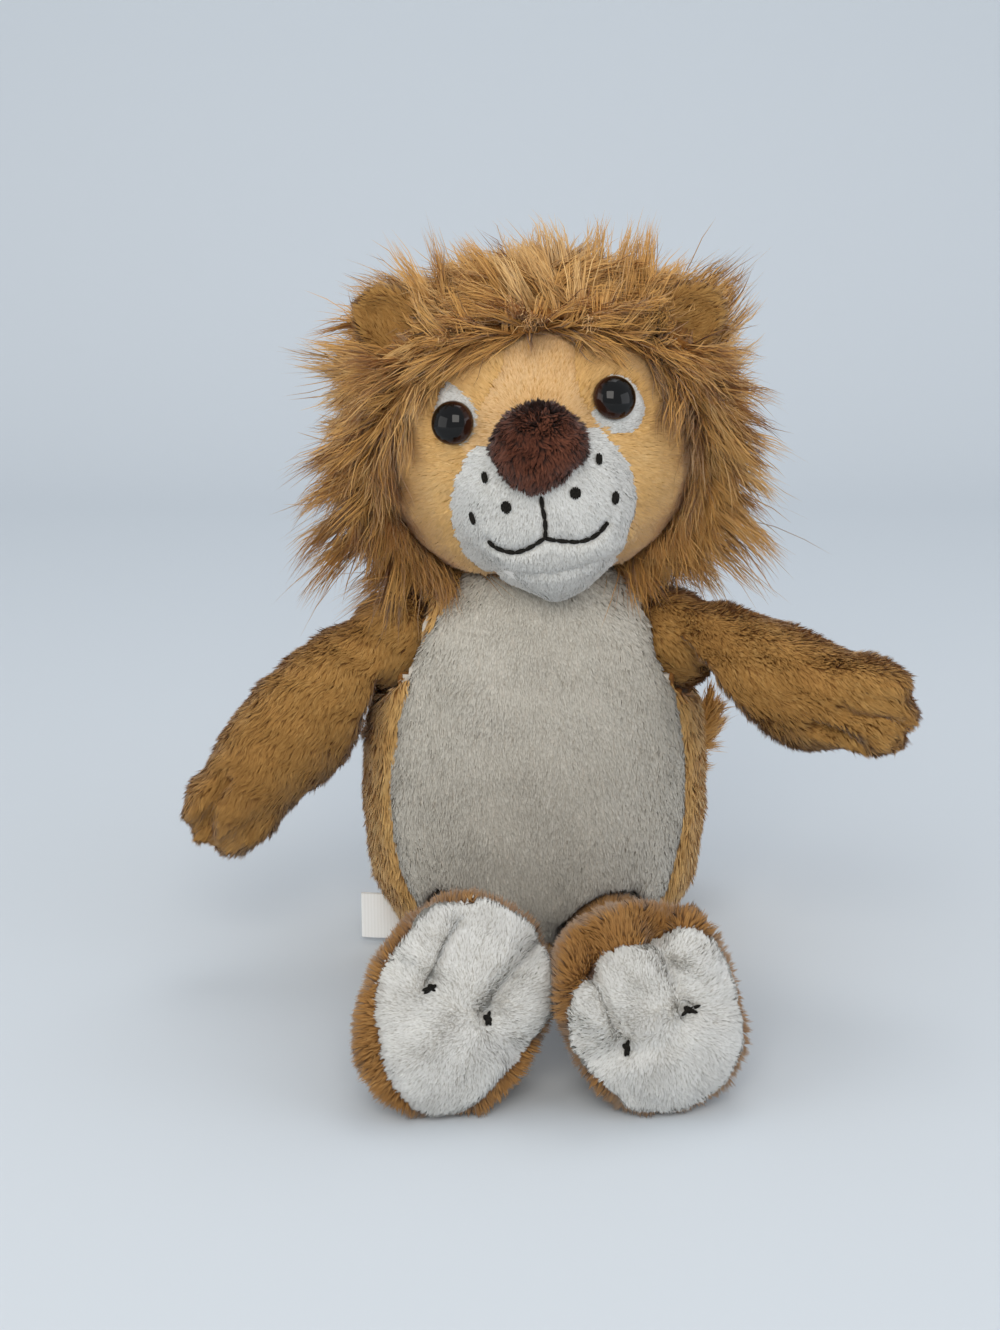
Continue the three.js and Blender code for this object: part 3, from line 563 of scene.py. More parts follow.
def ribbons(name, paths, widths, sides, shading, tints):
    """One mesh of tapering ribbons. paths is hairs x points x 3, and the last point is the tip."""
    hairs, points = paths.shape[:2]
    body = paths[:, :-1]
    half = sides[:, None, :] * widths[:, :, None] / 2
    per_hair = 2 * (points - 1) + 1
    vertices = np.empty((hairs, per_hair, 3))
    vertices[:, 0:-1:2] = body - half
    vertices[:, 1:-1:2] = body + half
    vertices[:, -1] = paths[:, -1]
    corners = []
    for step in range(points - 2):
        corners.append([2 * step, 2 * step + 1, 2 * step + 3, 2 * step + 2])
    corners.append([per_hair - 3, per_hair - 2, per_hair - 1])
    flat = np.concatenate(corners)
    loops = (flat[None, :] + np.arange(hairs)[:, None] * per_hair).ravel()
    sizes = np.tile([len(c) for c in corners], hairs)
    starts = np.concatenate([[0], np.cumsum(sizes)[:-1]])
    data = bpy.data.meshes.new(name)
    data.vertices.add(hairs * per_hair)
    data.vertices.foreach_set("co", vertices.astype(np.float32).ravel())
    data.loops.add(len(loops))
    data.loops.foreach_set("vertex_index", loops.astype(np.int32))
    data.polygons.add(len(sizes))
    data.polygons.foreach_set("loop_start", starts.astype(np.int32))
    data.update(calc_edges=True)
    along = np.append(np.repeat(np.arange(points - 1), 2), points - 1) / (points - 1)
    sideways = np.append(np.tile([-1, 1], points - 1), 0)
    uv_at = np.empty((hairs, per_hair, 2))
    uv_at[:, :, 0] = 0.02 + 0.96 * tints[:, None] + 0.008 * sideways[None, :]
    uv_at[:, :, 1] = 0.01 + 0.98 * along[None, :]
    layer = data.uv_layers.new(name="OFBake")
    layer.data.foreach_set("uv", uv_at[:, flat].astype(np.float32).ravel())
    smooth = np.repeat(shading, per_hair, axis=0)
    data.polygons.foreach_set("use_smooth", np.ones(len(sizes), bool))
    data.normals_split_custom_set_from_vertices(smooth.tolist())
    print(name, hairs, "hairs,", hairs * (2 * (points - 2) + 1), "triangles")
    return placed(name, data)


def nearest_of(points, places):
    """For each place, the number of the nearest of some points and how far away it is."""
    tree = point_tree(points)
    found = [tree.find(place) for place in places]
    return np.array([number for at, number, gap in found]), np.array([gap for at, number, gap in found])


loose_parting, least_lift, splay_share = 0.3, 0.1, 0.06
tip_narrowing, patch_tint, lock_tint, hair_tint = 0.6, 0.14, 0.1, 0.08


def coat(name, skin, per_square_mm, length, width, flow, lean=0.7, per_lock=6, clump=0.4, steps=1,
         curve=1.0, droop=0.0, mess=0.12, wave=6.0 * mm, stray=0.0, crinkle=0.0, seed=1, bare=(),
         push=None, only=None):
    """A coat of hairs on a skin. length is one length, or gives it at each root. flow gives the combing
    direction at each root, and lean is how far a hair lies over from upright, from 0 to 1. Hairs gather
    into locks of per_lock, whose tips are drawn together by clump, apart from a share of stray ones. mess
    is how much locks part, over a length of wave. bare lists (places, radius) where nothing grows. push
    moves a lock's points clear of things, and only picks the roots that hair grows from."""
    roots, facing, draw = scatter(skin, per_square_mm, seed)
    if only is not None:
        kept = only(roots)
        roots, facing = roots[kept], facing[kept]
    for places, radius in bare:
        kept = nearest_of(places, roots)[1] > radius
        roots, facing = roots[kept], facing[kept]
    guides = max(1, len(roots) // per_lock)
    comb = flow(roots[:guides])
    outward = facing[:guides]
    comb = unit(comb - (comb * outward).sum(1, keepdims=True) * outward)
    parting = wavy(roots[:guides], wave * 2, seed + 1) + loose_parting * draw.normal(size=(guides, 3))
    heading = unit(outward * (1 - lean) + comb * lean + mess * parting)
    lift = (heading * outward).sum(1, keepdims=True)
    heading = unit(heading + np.maximum(least_lift - lift, 0) * outward)
    path = [roots[:guides]]
    reach = length(roots)[:, None] if callable(length) else np.full((len(roots), 1), length)
    guide_length = reach[:guides] * draw.uniform(0.8, 1.15, (guides, 1))
    curl = mess * wavy(roots[:guides], wave, seed + 3)
    down = np.array([0, 0, -1.0])
    for step in range(steps):
        ahead = path[-1] + heading * guide_length / steps
        if push is not None:
            ahead = push(ahead, (step + 1) / steps)
            heading = unit(ahead - path[-1])
        path.append(ahead)
        heading = unit(heading + (comb * curve + down * droop + curl * math.cos(3 * step)) / steps)
    travel = np.stack(path, 1) - roots[:guides, None, :]
    owner = nearest_of(roots[:guides], roots)[0]
    owner[:guides] = np.arange(guides)
    share = np.linspace(0, 1, steps + 1)[None, :, None]
    hold = clump * np.where(draw.random(len(roots)) < stray, 0.1, draw.uniform(0.7, 1.1, len(roots)))
    gather = (roots - roots[owner])[:, None, :] * hold[:, None, None] * share ** 0.8
    splay = splay_share * reach[:, :, None] * draw.normal(size=(len(roots), 1, 3)) * share
    splay = splay * (1 + 2 * (hold < 0.3 * clump))[:, None, None]
    paths = roots[:, None, :] + travel[owner] * draw.uniform(0.75, 1.1, (len(roots), 1, 1)) - gather + splay
    along = unit(paths[:, -1] - paths[:, 0])
    side = unit(np.cross(facing + 0.5 * draw.normal(size=roots.shape), along))
    side *= np.sign((np.cross(side, along) * facing).sum(1, keepdims=True))
    if crinkle:
        turns = draw.uniform(0.8, 1.6, (len(roots), 1, 1)) * share + draw.random((len(roots), 1, 1))
        turns = 2 * math.pi * turns
        paths += crinkle * share * (np.sin(turns) * side[:, None, :] + np.cos(turns) * facing[:, None, :])
    paths = within_limits(paths)
    taper = width * (1 - tip_narrowing * np.linspace(0, 1, steps + 1)[:-1] ** 1.5)
    widths = taper[None, :] * draw.uniform(0.75, 1.25, (len(roots), 1))
    shading = unit(facing + 0.25 * along + 0.12 * draw.normal(size=roots.shape))
    tints = 0.5 + patch_tint * wavy(roots, 4 * wave, seed + 4)[:, 0]
    lock_tints = lock_tint * draw.normal(size=guides)
    tints = np.clip(tints + lock_tints[owner] + hair_tint * draw.normal(size=len(roots)), 0, 1)
    return ribbons(name, paths, widths, side, shading, tints)


def within_limits(paths):
    """Bends hairs softly so that none passes the tallest or the rearmost place that fur may reach, and
    none goes through the floor."""
    for axis, limit in ((1, fur_back), (2, fur_top)):
        over = np.maximum(paths[..., axis] - (limit - limit_softness), 0)
        paths[..., axis] += limit_softness * (1 - np.exp(-over / limit_softness)) - over
    paths[..., 2] = np.maximum(paths[..., 2], fur_bottom)
    return paths


print("fur may reach", round(fur_top / mm), "mm up and", round(fur_back / mm), "mm back")

# %% [markdown]
# ## Plush and thread
# Minky plush is knitted polyester with a dense cut pile. Light sinks in between the fibres, so each hair
# is painted darker at its root, as painted shade, and pale at its tip, and there is a soft sheen and no
# gloss. One function makes each pile material: U on a hair's UV map picks a darker or lighter fibre, and V
# runs from root to tip. The brown comes in three copies: the arms' own, a darker one on the feet, which is
# painted shade, and a paler one on the sides and seat, which is painted light. The knitted backing under
# the pile takes about the roots' painted shade, so gaps between the hairs look deep.

# %% Fabric materials
def pile_finish(name, roots, tips, root_shade_reach=0.55, sheen=0.25):
    """Polyester pile: soft, rough, a faint sheen, roots darkened as painted shade. roots and tips are hex
    colours by tint.
    """
    material, tree, shader = new_material(name, Roughness=0.8, Sheen_Weight=sheen, Sheen_Roughness=0.5,
                                          Specular_IOR_Level=0.25)
    along = add_node(tree, "ShaderNodeUVMap", uv_map="OFBake")
    split = add_node(tree, "ShaderNodeSeparateXYZ", {"Vector": along.outputs["UV"]})
    stops = [i / (len(roots) - 1) for i in range(len(roots))]
    low = colour_ramp(tree, split.outputs["X"], list(zip(stops, roots)))
    high = colour_ramp(tree, split.outputs["X"], list(zip(stops, tips)))
    # Along V the colour goes from the roots' painted shade to the tips' colour.
    root_shade_fade = add_node(tree, "ShaderNodeMapRange", {"Value": split.outputs["Y"]},
                    interpolation_type="SMOOTHSTEP")
    root_shade_fade.inputs["From Max"].default_value = root_shade_reach
    mix = add_node(tree, "ShaderNodeMix", data_type="RGBA")
    tree.links.new(root_shade_fade.outputs["Result"], mix.inputs["Factor"])
    tree.links.new(low, mix.inputs[6])
    tree.links.new(high, mix.inputs[7])
    tree.links.new(mix.outputs[2], shader.inputs["Base Color"])
    return material


def piece_coordinates(tree):
    """The socket that gives a piece's own coordinates."""
    return add_node(tree, "ShaderNodeTexCoord").outputs["Object"]


def backing_finish(name, dark, light, grain=0.5 * mm):
    """Knitted backing cloth: matt, mottled at the size of its stitches."""
    material, tree, shader = new_material(name, Roughness=0.95, Specular_IOR_Level=0.2)
    stitch = add_node(tree, "ShaderNodeTexNoise", {"Vector": piece_coordinates(tree)}, Scale=1 / grain,
                      Detail=2.0)
    colour = colour_ramp(tree, stitch.outputs["Fac"], [(0.35, dark), (0.65, light)])
    tree.links.new(colour, shader.inputs["Base Color"])
    bump = add_node(tree, "ShaderNodeBump", {"Height": stitch.outputs["Fac"]}, Strength=0.5,
                    Distance=0.2 * mm)
    tree.links.new(bump.outputs["Normal"], shader.inputs["Normal"])
    return material


brown_pile = pile_finish("brown_minky_pile", ["#6b431a", "#7a4f23", "#8a5d2e"],
                         ["#9c6e36", "#b58646", "#cda260"], root_shade_reach=0.5)
# A darker copy of the brown pile for the feet: the darkness is painted shade.
shaded_foot_pile = pile_finish("brown_minky_pile_painted_shade", ["#553314", "#65411c", "#755026"],
                        ["#8c5f2e", "#a5763e", "#bd9056"], root_shade_reach=0.6)
# A paler copy of the brown pile for the body's sides and seat: the paleness is painted light.
lit_body_pile = pile_finish("brown_minky_pile_painted_light", ["#9a6d39", "#a97c46", "#b68952"],
                          ["#cb9c5a", "#deb06b", "#edc887"], root_shade_reach=0.45)
gold_pile = pile_finish("golden_minky_pile", ["#ba8a47", "#c79750", "#d2a35b"],
                        ["#d2a35c", "#e6b976", "#f0c98b"], root_shade_reach=0.35)
blaze_pile = pile_finish("pale_gold_minky_pile", ["#d09c5a", "#daa966", "#e2b472"],
                         ["#e0b272", "#eec58c", "#f6d29e"])
white_pile = pile_finish("white_minky_pile", ["#bcb9b1", "#c8c5bd", "#d1cec6"],
                         ["#d9d7d1", "#e5e4df", "#eeede9"])
cream_pile = pile_finish("cream_minky_pile", ["#b0a99b", "#b9b2a4", "#c1baad"],
                         ["#c4bdb0", "#cfc9bc", "#d8d2c6"])
nose_pile = pile_finish("dark_brown_minky_pile", ["#1c0d07", "#26130b", "#301910"],
                        ["#50271a", "#703e29", "#95593f"], root_shade_reach=0.8)
mane_pile = pile_finish("long_polyester_fur", ["#855522", "#99672f", "#aa7a3d"],
                        ["#bb8742", "#d3a05b", "#e8c389"], root_shade_reach=0.6, sheen=0.15)
# These backings are coloured about like the pile's darkened roots, a painted shade, so gaps between the
# hairs look deep.
brown_backing = backing_finish("brown_knitted_backing", "#7a5024", "#8a5f30")
gold_backing = backing_finish("golden_knitted_backing", "#b98a48", "#c69754")
blaze_backing = backing_finish("pale_gold_knitted_backing", "#cb9a5a", "#d8a96a")
white_backing = backing_finish("white_knitted_backing", "#cfccc5", "#dedbd5")
cream_backing = backing_finish("cream_knitted_backing", "#bfb7aa", "#cdc5b8")
nose_backing = backing_finish("dark_brown_knitted_backing", "#1f0f08", "#2e1810")
mane_backing = backing_finish("fur_backing_cloth", "#855725", "#996834")
fibre = backing_finish("polyester_fibre_fill", "#e2e0dc", "#f4f3f0", grain=1.5 * mm)
bag_cloth = backing_finish("woven_pellet_bag_cloth", "#dcd7cb", "#eae6dc", grain=0.8 * mm)
black_thread = backing_finish("twisted_black_thread", "#0d0c0a", "#24211c", grain=0.4 * mm)
label_satin, tree, shader = new_material("woven_satin_ribbon", Roughness=0.4, Sheen_Weight=0.3,
                                         Sheen_Roughness=0.3)
rib_pitch = 0.5 * mm
weave = add_node(tree, "ShaderNodeTexWave", {"Vector": piece_coordinates(tree)},
                 Scale=1 / rib_pitch / (2 * math.pi), Distortion=0.5, bands_direction="X")
tree.links.new(colour_ramp(tree, weave.outputs["Fac"], [(0.0, "#ecebe7"), (1.0, "#f2f1ee")]),
               shader.inputs["Base Color"])
ribs = add_node(tree, "ShaderNodeBump", {"Height": weave.outputs["Fac"]}, Strength=0.1, Distance=0.1 * mm)
tree.links.new(ribs.outputs["Normal"], shader.inputs["Normal"])
washer_plastic, tree, shader = new_material("moulded_white_polypropylene", Roughness=0.45, IOR=1.49,
                                            Subsurface_Weight=0.1)
cloud_size = 4 * mm
cloudy = add_node(tree, "ShaderNodeTexNoise", {"Vector": piece_coordinates(tree)}, Scale=1 / cloud_size,
                  Detail=2.0)
tree.links.new(colour_ramp(tree, cloudy.outputs["Fac"], [(0.3, "#dcdcd6"), (0.7, "#ebebe6")]),
               shader.inputs["Base Color"])
print("materials:", len(bpy.data.materials))

# %% [markdown]
# ## One call for a panel and its coat
# Each panel of fabric is a skin with a backing finish. It stands for its plain solid, rides on the same
# body and carries its pile as a second piece. The next helper says all of that once.

# %% Panel helper
def dress(piece, body, finish, nodes=()):
    """Gives a piece its finish, its body and the plain solids that it stands for."""
    piece.data.materials.clear()
    piece.data.materials.append(finish)
    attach(piece, body)
    if nodes:
        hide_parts(*nodes)
    return piece


def with_wall(piece, wall=1.0 * mm):
    """Gives an open skin a wall, so that it is a closed layer of cloth."""
    thicken = piece.modifiers.new("cloth_wall", "SOLIDIFY")
    thicken.thickness = wall
    thicken.offset = -1.0
    apply_modifiers(piece)
    return smoothed(piece)


def centre(node_name):
    """The middle of a plain solid's box."""
    low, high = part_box(node_name)
    return (low + high) / 2


def away_from(point):
    """A combing field that points away from a point."""
    origin = np.array(point)
    return lambda roots: unit(roots - origin)


def toward(direction):
    """A combing field of one direction."""
    return lambda roots: np.tile(np.array(direction, float), (len(roots), 1))


print("the tummy's middle is at", [round(c / mm) for c in centre("tummy_panel")], "mm")

# %% [markdown]
# ## Body
# The body is a stuffed sack of four panels: a cream tummy, two brown sides and a small seat. Stuffing
# rounds it and the seams draw it in. The tummy's pile is very short, and the sides' is combed down.

# %% Body panels and pile
body_groups = {"tummy": ["tummy_panel"], "side_left": ["body_side_left"],
               "side_right": ["body_side_right"], "seat": ["seat_panel"]}
body_skin = sewn_skin("body_skin",
                      [n for names in body_groups.values() for n in names] + ["body_stuffing", "pellet_bag"],
                      voxel=2.8 * mm, rounds=3, inset=0.7 * mm)
body_tree = skin_tree(body_skin)
tummy_outline = [(452, 592), (416, 649), (399, 709), (388, 782), (392, 842), (406, 889), (440, 930),
                 (540, 945), (630, 930), (661, 905), (677, 862), (687, 815), (687, 749), (677, 689),
                 (657, 635), (633, 589), (600, 560), (480, 560)]
body_panels = cut_panels(body_skin, body_groups, {"tummy": tummy_outline}, seam_depth=1.1 * mm,
                         seam_width=4 * mm)
coat("tummy_pile", body_panels["tummy"], per_square_mm=7.0, length=1.7 * mm, width=0.5 * mm,
     flow=toward((0.05, -0.1, -1)), lean=0.75, mess=0.14, seed=11)
for side, inward in (("left", 0.1), ("right", -0.1)):
    coat(f"side_{side}_pile", body_panels[f"side_{side}"], per_square_mm=4.8, length=3.8 * mm,
         width=0.55 * mm, flow=toward((-inward, -0.5, -1)), lean=0.72, per_lock=5, clump=0.3, mess=0.16,
         wave=5 * mm, seed=21)
coat("seat_pile", body_panels["seat"], per_square_mm=2.5, length=1.0 * mm, width=0.5 * mm,
     flow=toward((0, -1, 0)), lean=0.9, seed=31)
for panel_name, node_names in body_groups.items():
    cream = panel_name == "tummy"
    slot = "cream_plush" if cream else "brown_plush"
    dress(with_wall(body_panels[panel_name]), "torso", cream_backing if cream else brown_backing,
          node_names)
    # The sides' and seat's pile is the brown lightened as painted light.
    dress(bpy.data.objects[panel_name + "_pile"], "torso", cream_pile if cream else lit_body_pile)

# %% [markdown]
# ## Head
# The head's skin is one egg with a bulge for the muzzle, cut into its panels along the borders that the
# photograph shows. The chin narrows downwards, so the front of the skin is pulled in sideways there. The
# mouth's thread draws the muzzle in. The pile is combed away from the nose.

# %% Borders and thread lines of the face
muzzle_outline = [(512, 445), (478, 447), (457, 475), (451, 505), (456, 538), (471, 562), (492, 573),
                  (552, 574), (615, 558), (630, 530), (637, 505), (633, 475), (618, 449), (595, 429),
                  (570, 430)]
chin_outline = [(492, 573), (552, 574), (615, 558), (608, 577), (580, 597), (556, 608), (525, 599)]
blaze_outline = [(512, 330), (503, 365), (489, 394), (478, 420), (466, 455), (510, 470), (570, 455),
                 (598, 428), (587, 408), (579, 389), (574, 360), (572, 330)]
patch_outlines = {
    "left": [(613, 369), (613, 371), (630, 380), (643, 396), (645, 413), (638, 428), (622, 435),
             (604, 430), (592, 417), (594, 398), (603, 383)],
    "right": [(447, 377), (447, 379), (462, 389), (476, 405), (479, 422), (472, 438), (458, 446),
              (443, 441), (434, 424), (436, 402)]}
mouth_lines = [[(541, 497), (545, 520), (545, 537)],
               [(545, 538), (532, 547), (517, 552), (499, 549), (489, 541)],
               [(545, 538), (562, 541), (579, 542), (595, 536), (607, 523)]]
face_borders = [muzzle_outline, chin_outline, blaze_outline, *patch_outlines.values(), *mouth_lines]
print("points traced on the face:", sum(len(border) for border in face_borders))

# %% Head panels and pile
head_centre = np.array([0.8, -5.0, 154.0]) * mm
head_groups = {"head_back_skin": ["head_back"], "blaze": ["forehead_blaze"], "cheek_left": ["face_left"],
               "cheek_right": ["face_right"], "muzzle": ["muzzle_panel"], "chin": ["chin_panel"],
               "white_patch_left": ["eye_patch_left"], "white_patch_right": ["eye_patch_right"]}
head_skin = sewn_skin("head_skin", [n for names in head_groups.values() for n in names] + ["head_stuffing"],
                      voxel=2.0 * mm, rounds=2, inset=0.5 * mm)
chin_middle = centre("chin_panel")
chin_top, chin_drop, chin_taper = 131.0 * mm, 15.0 * mm, 0.42
chin_back, chin_blend = -28 * mm, 6 * mm
for vertex in head_skin.data.vertices:
    forward_share = min(max((chin_back - vertex.co.y) / chin_blend, 0), 1)
    low_share = min(max((chin_top - vertex.co.z) / chin_drop, 0), 1)
    vertex.co.x += (chin_middle.x - vertex.co.x) * chin_taper * low_share * forward_share
stitch_lines(head_skin, mouth_lines, depth=1.2 * mm, width=3 * mm)
head_tree = skin_tree(head_skin)
head_panels = cut_panels(head_skin, head_groups, {
    "white_patch_left": patch_outlines["left"], "white_patch_right": patch_outlines["right"],
    "chin": chin_outline, "muzzle": muzzle_outline, "blaze": blaze_outline})
nose_middle = centre("nose")
from_nose = away_from(nose_middle + Vector((0, 12, 2)) * mm)
thread_places = places_on(head_tree, mouth_lines)
sides = ("left", "right")
eye_places = [centre(f"eye_{side}") for side in sides]
thread_clearance, eye_clearance = 0.8 * mm, 5.6 * mm
face_looks = {
    "blaze": ("light_plush", blaze_backing, blaze_pile, 14.0, 1.7),
    "cheek_left": ("gold_plush", gold_backing, gold_pile, 13.0, 2.2),
    "cheek_right": ("gold_plush", gold_backing, gold_pile, 13.0, 2.2),
    "muzzle": ("white_plush", white_backing, white_pile, 15.0, 1.5),
    "chin": ("white_plush", white_backing, white_pile, 15.0, 1.3),
    "white_patch_left": ("white_plush", white_backing, white_pile, 15.0, 1.1),
    "white_patch_right": ("white_plush", white_backing, white_pile, 15.0, 1.1),
    "head_back_skin": ("mane_fur", brown_backing, None, 0, 0)}
for number, (panel_name, (slot, backing, pile, density, length)) in enumerate(face_looks.items()):
    panel = head_panels[panel_name]
    if pile:
        hair = coat(panel_name + "_pile", panel, per_square_mm=density, length=length * mm, width=0.42 * mm,
                    flow=from_nose, lean=0.76, clump=0.3, mess=0.12, wave=5 * mm, seed=41 + 10 * number,
                    bare=[(thread_places, thread_clearance), (eye_places, eye_clearance)])
        dress(hair, "head", pile)
    dress(with_wall(panel), "head", backing, head_groups[panel_name])

# %% [markdown]
# ## Nose
# The nose is stuffed too, in the darkest plush. It is wide at the top and narrows to the philtrum, so the
# lower half of its skin is pulled in sideways. Its pile clumps into small ragged tufts.

# %% Nose and its pile
nose_skin = sewn_skin("nose_skin", ["nose"], voxel=1.0 * mm, rounds=4, inset=0.9 * mm)
nose_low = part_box("nose")[0]
nose_taper, nose_lean = 0.32, 1.5 * mm
for vertex in nose_skin.data.vertices:
    low_share = max(0.0, (nose_middle.z - vertex.co.z) / (nose_middle.z - nose_low.z))
    tip_x = nose_middle.x - nose_lean * low_share
    vertex.co.x = tip_x + (vertex.co.x - nose_middle.x) * (1 - nose_taper * low_share)
hair = coat("nose_pile", nose_skin, per_square_mm=24.0, length=2.4 * mm, width=0.42 * mm,
            flow=away_from(nose_middle + Vector((0, 5, 6)) * mm), lean=0.5, per_lock=12, clump=0.75,
            mess=0.3, wave=2.5 * mm, curve=0.8, seed=131)
dress(hair, "head", nose_pile)
dress(nose_skin, "head", nose_backing, ["nose"])

# %% [markdown]
# ## Eyes
# Safety eyes are moulded from plastic and polished: a black pupil fills nearly the whole dome and has a
# thin dark brown rim. The dome is a profile turned on its axis with spin. The axis runs from the washer
# behind the cloth through the dome's pole, both of which the frame gives.

# %% Eyes turned on a lathe
pupil_plastic, tree, shader = new_material("polished_moulded_plastic", Roughness=0.03,
                                           Specular_IOR_Level=0.3)
around = add_node(tree, "ShaderNodeUVMap", uv_map="rings")
ring = add_node(tree, "ShaderNodeSeparateXYZ", {"Vector": around.outputs["UV"]})
shade = colour_ramp(tree, ring.outputs["Y"], [(0.0, "#060505"), (0.78, "#070605"), (0.86, "#2a1710"),
                                              (1.0, "#3a2117")])
tree.links.new(shade, shader.inputs["Base Color"])


def turned(name, profile, spins, place, axis):
    """A profile of (radius, height) points spun round an axis and set at a place."""
    lathe = bmesh.new()
    line = [lathe.verts.new((radius, 0, height)) for radius, height in profile]
    cuts = [lathe.edges.new(pair) for pair in zip(line, line[1:])]
    bmesh.ops.spin(lathe, geom=line + cuts, cent=(0, 0, 0), axis=(0, 0, 1), angle=2 * math.pi,
                   steps=spins, use_merge=True, dvec=(0, 0, 0), use_normal_flip=False)
    bmesh.ops.remove_doubles(lathe, verts=lathe.verts, dist=1e-6)
    bmesh.ops.recalc_face_normals(lathe, faces=lathe.faces)
    layer = lathe.loops.layers.uv.new("rings")
    reach = max(radius for radius, height in profile)
    for face in lathe.faces:
        for loop in face.loops:
            x, y = loop.vert.co.x, loop.vert.co.y
            loop[layer].uv = (math.atan2(y, x) / (2 * math.pi) + 0.5, math.hypot(x, y) / reach)
    turn = Vector(axis).to_track_quat("Z", "Y").to_matrix().to_4x4()
    bmesh.ops.transform(lathe, matrix=Matrix.Translation(place) @ turn, verts=lathe.verts)
    return smoothed(placed_mesh(name, lathe))


eye_radius = 6.0 * mm
eye_height = 4.6 * mm
eye_rim = 0.7 * mm
shank_radius, shank_length = 1.7 * mm, 6 * mm
dome_rings = 14
eye_seats = {}
for side in sides:
    points = [v.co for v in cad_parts[f"eye_{side}"].data.vertices]
    washer_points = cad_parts[f"eye_washer_{side}"].data.vertices
    washer = sum((v.co for v in washer_points), Vector()) / len(washer_points)
    pole = max(points, key=lambda p: (p - washer).length)
    axis = (pole - washer).normalized()
    seat = pole - axis * eye_height
    eye_seats[side] = (seat, axis, washer)
    dome = [(0.0, eye_height)]
    for ring_number in range(1, dome_rings + 1):
        angle = math.radians(90 * ring_number / dome_rings)
        dome.append((eye_radius * math.sin(angle), eye_height * math.cos(angle)))
    dome += [(eye_radius, -eye_rim), (shank_radius, -eye_rim), (shank_radius, -shank_length),
             (0.0, -shank_length)]
    eye = turned(f"safety_eye_{side}", dome, spins=48, place=seat, axis=axis)
    dress(eye, "head", pupil_plastic, [f"eye_{side}"])
print("eyes", [tuple(round(c / mm, 1) for c in seat) for seat, axis, washer in eye_seats.values()])

# %% [markdown]
# ## Thread
# The mouth is sewn in back stitches of thick black thread, and each whisker spot is a few satin stitches
# side by side. A stitch is a small sphere pulled long, laid on the skin with one end over the next.

# %% Stitches
stitch_flatness = 0.85


def add_stitch(sewn, start, end, normal, radius):
    """Adds one oval stitch that lies on a skin from start to end."""
    along = end - start
    length = along.length / 2 + 0.6 * radius
    along.normalize()
    across = normal.cross(along).normalized()
    up = along.cross(across)
    shape = Matrix((along * length, across * radius, up * radius * stitch_flatness)).transposed().to_4x4()
    shape.translation = (start + end) / 2
    bmesh.ops.create_uvsphere(sewn, u_segments=10, v_segments=7, radius=1.0, matrix=shape)


def thread_piece(name, sewn, body, node_name):
    """Makes stitches one piece of black thread that stands for its plain solid."""
    dress(smoothed(placed_mesh(name, sewn)), body, black_thread, [node_name])


thread_radius = 0.65 * mm
stitch_length = 3.0 * mm
mouth = bmesh.new()
for line in mouth_lines:
    marks = line_on(head_tree, line, step=1.0)
    last, last_normal = marks[0]
    for place, normal in marks[1:]:
        if (place - last).length >= stitch_length or place is marks[-1][0]:
            add_stitch(mouth, last + last_normal * thread_radius, place + normal * thread_radius, normal,
                       thread_radius)
            last, last_normal = place, normal
thread_piece("mouth_thread", mouth, "head", "mouth_stitch")

whisker_spots = {
    # picture place, width and height in millimetres, and lean in degrees
    "whisker_left_1": ((598, 460), 1.6, 3.4, 20), "whisker_left_2": ((575, 493), 2.8, 3.2, 0),
    "whisker_left_3": ((614, 498), 2.2, 3.6, 15), "whisker_right_1": ((486, 478), 1.6, 3.4, -30),
    "whisker_right_2": ((507, 507), 2.6, 3.4, -10), "whisker_right_3": ((474, 518), 1.8, 3.6, -25)}
satin_pitch, satin_radius, satin_height = 0.55 * mm, 0.42 * mm, 0.7 * mm
dot_roundness = 2.4
for node_name, (spot, width, height, lean_deg) in whisker_spots.items():
    place, normal = spot_on(head_tree, spot)
    up = Vector((0, 0, 1)) - normal * normal.z
    up = Matrix.Rotation(math.radians(-lean_deg), 3, normal) @ up.normalized()
    across = normal.cross(up)
    dots = bmesh.new()
    threads = max(2, round(width * mm / satin_pitch))
    for thread in range(threads):
        offset = (thread - (threads - 1) / 2) * satin_pitch
        aside = dot_roundness * offset / (width * mm + satin_pitch)
        half = height * mm / 2 * math.sqrt(1 - aside ** 2)
        middle = place + across * offset + normal * satin_height
        add_stitch(dots, middle - up * half, middle + up * half, normal, satin_radius)
    thread_piece(node_name + "_thread", dots, "head", node_name)
print("stitches on the face:", 1 + len(whisker_spots))

# %% [markdown]
# ## Arms and hands
# Each arm is a stuffed tube with three fingers sewn in at its end. Stitch lines between the fingers draw
# the hand in, and the pile is combed from the shoulder to the fingertips.

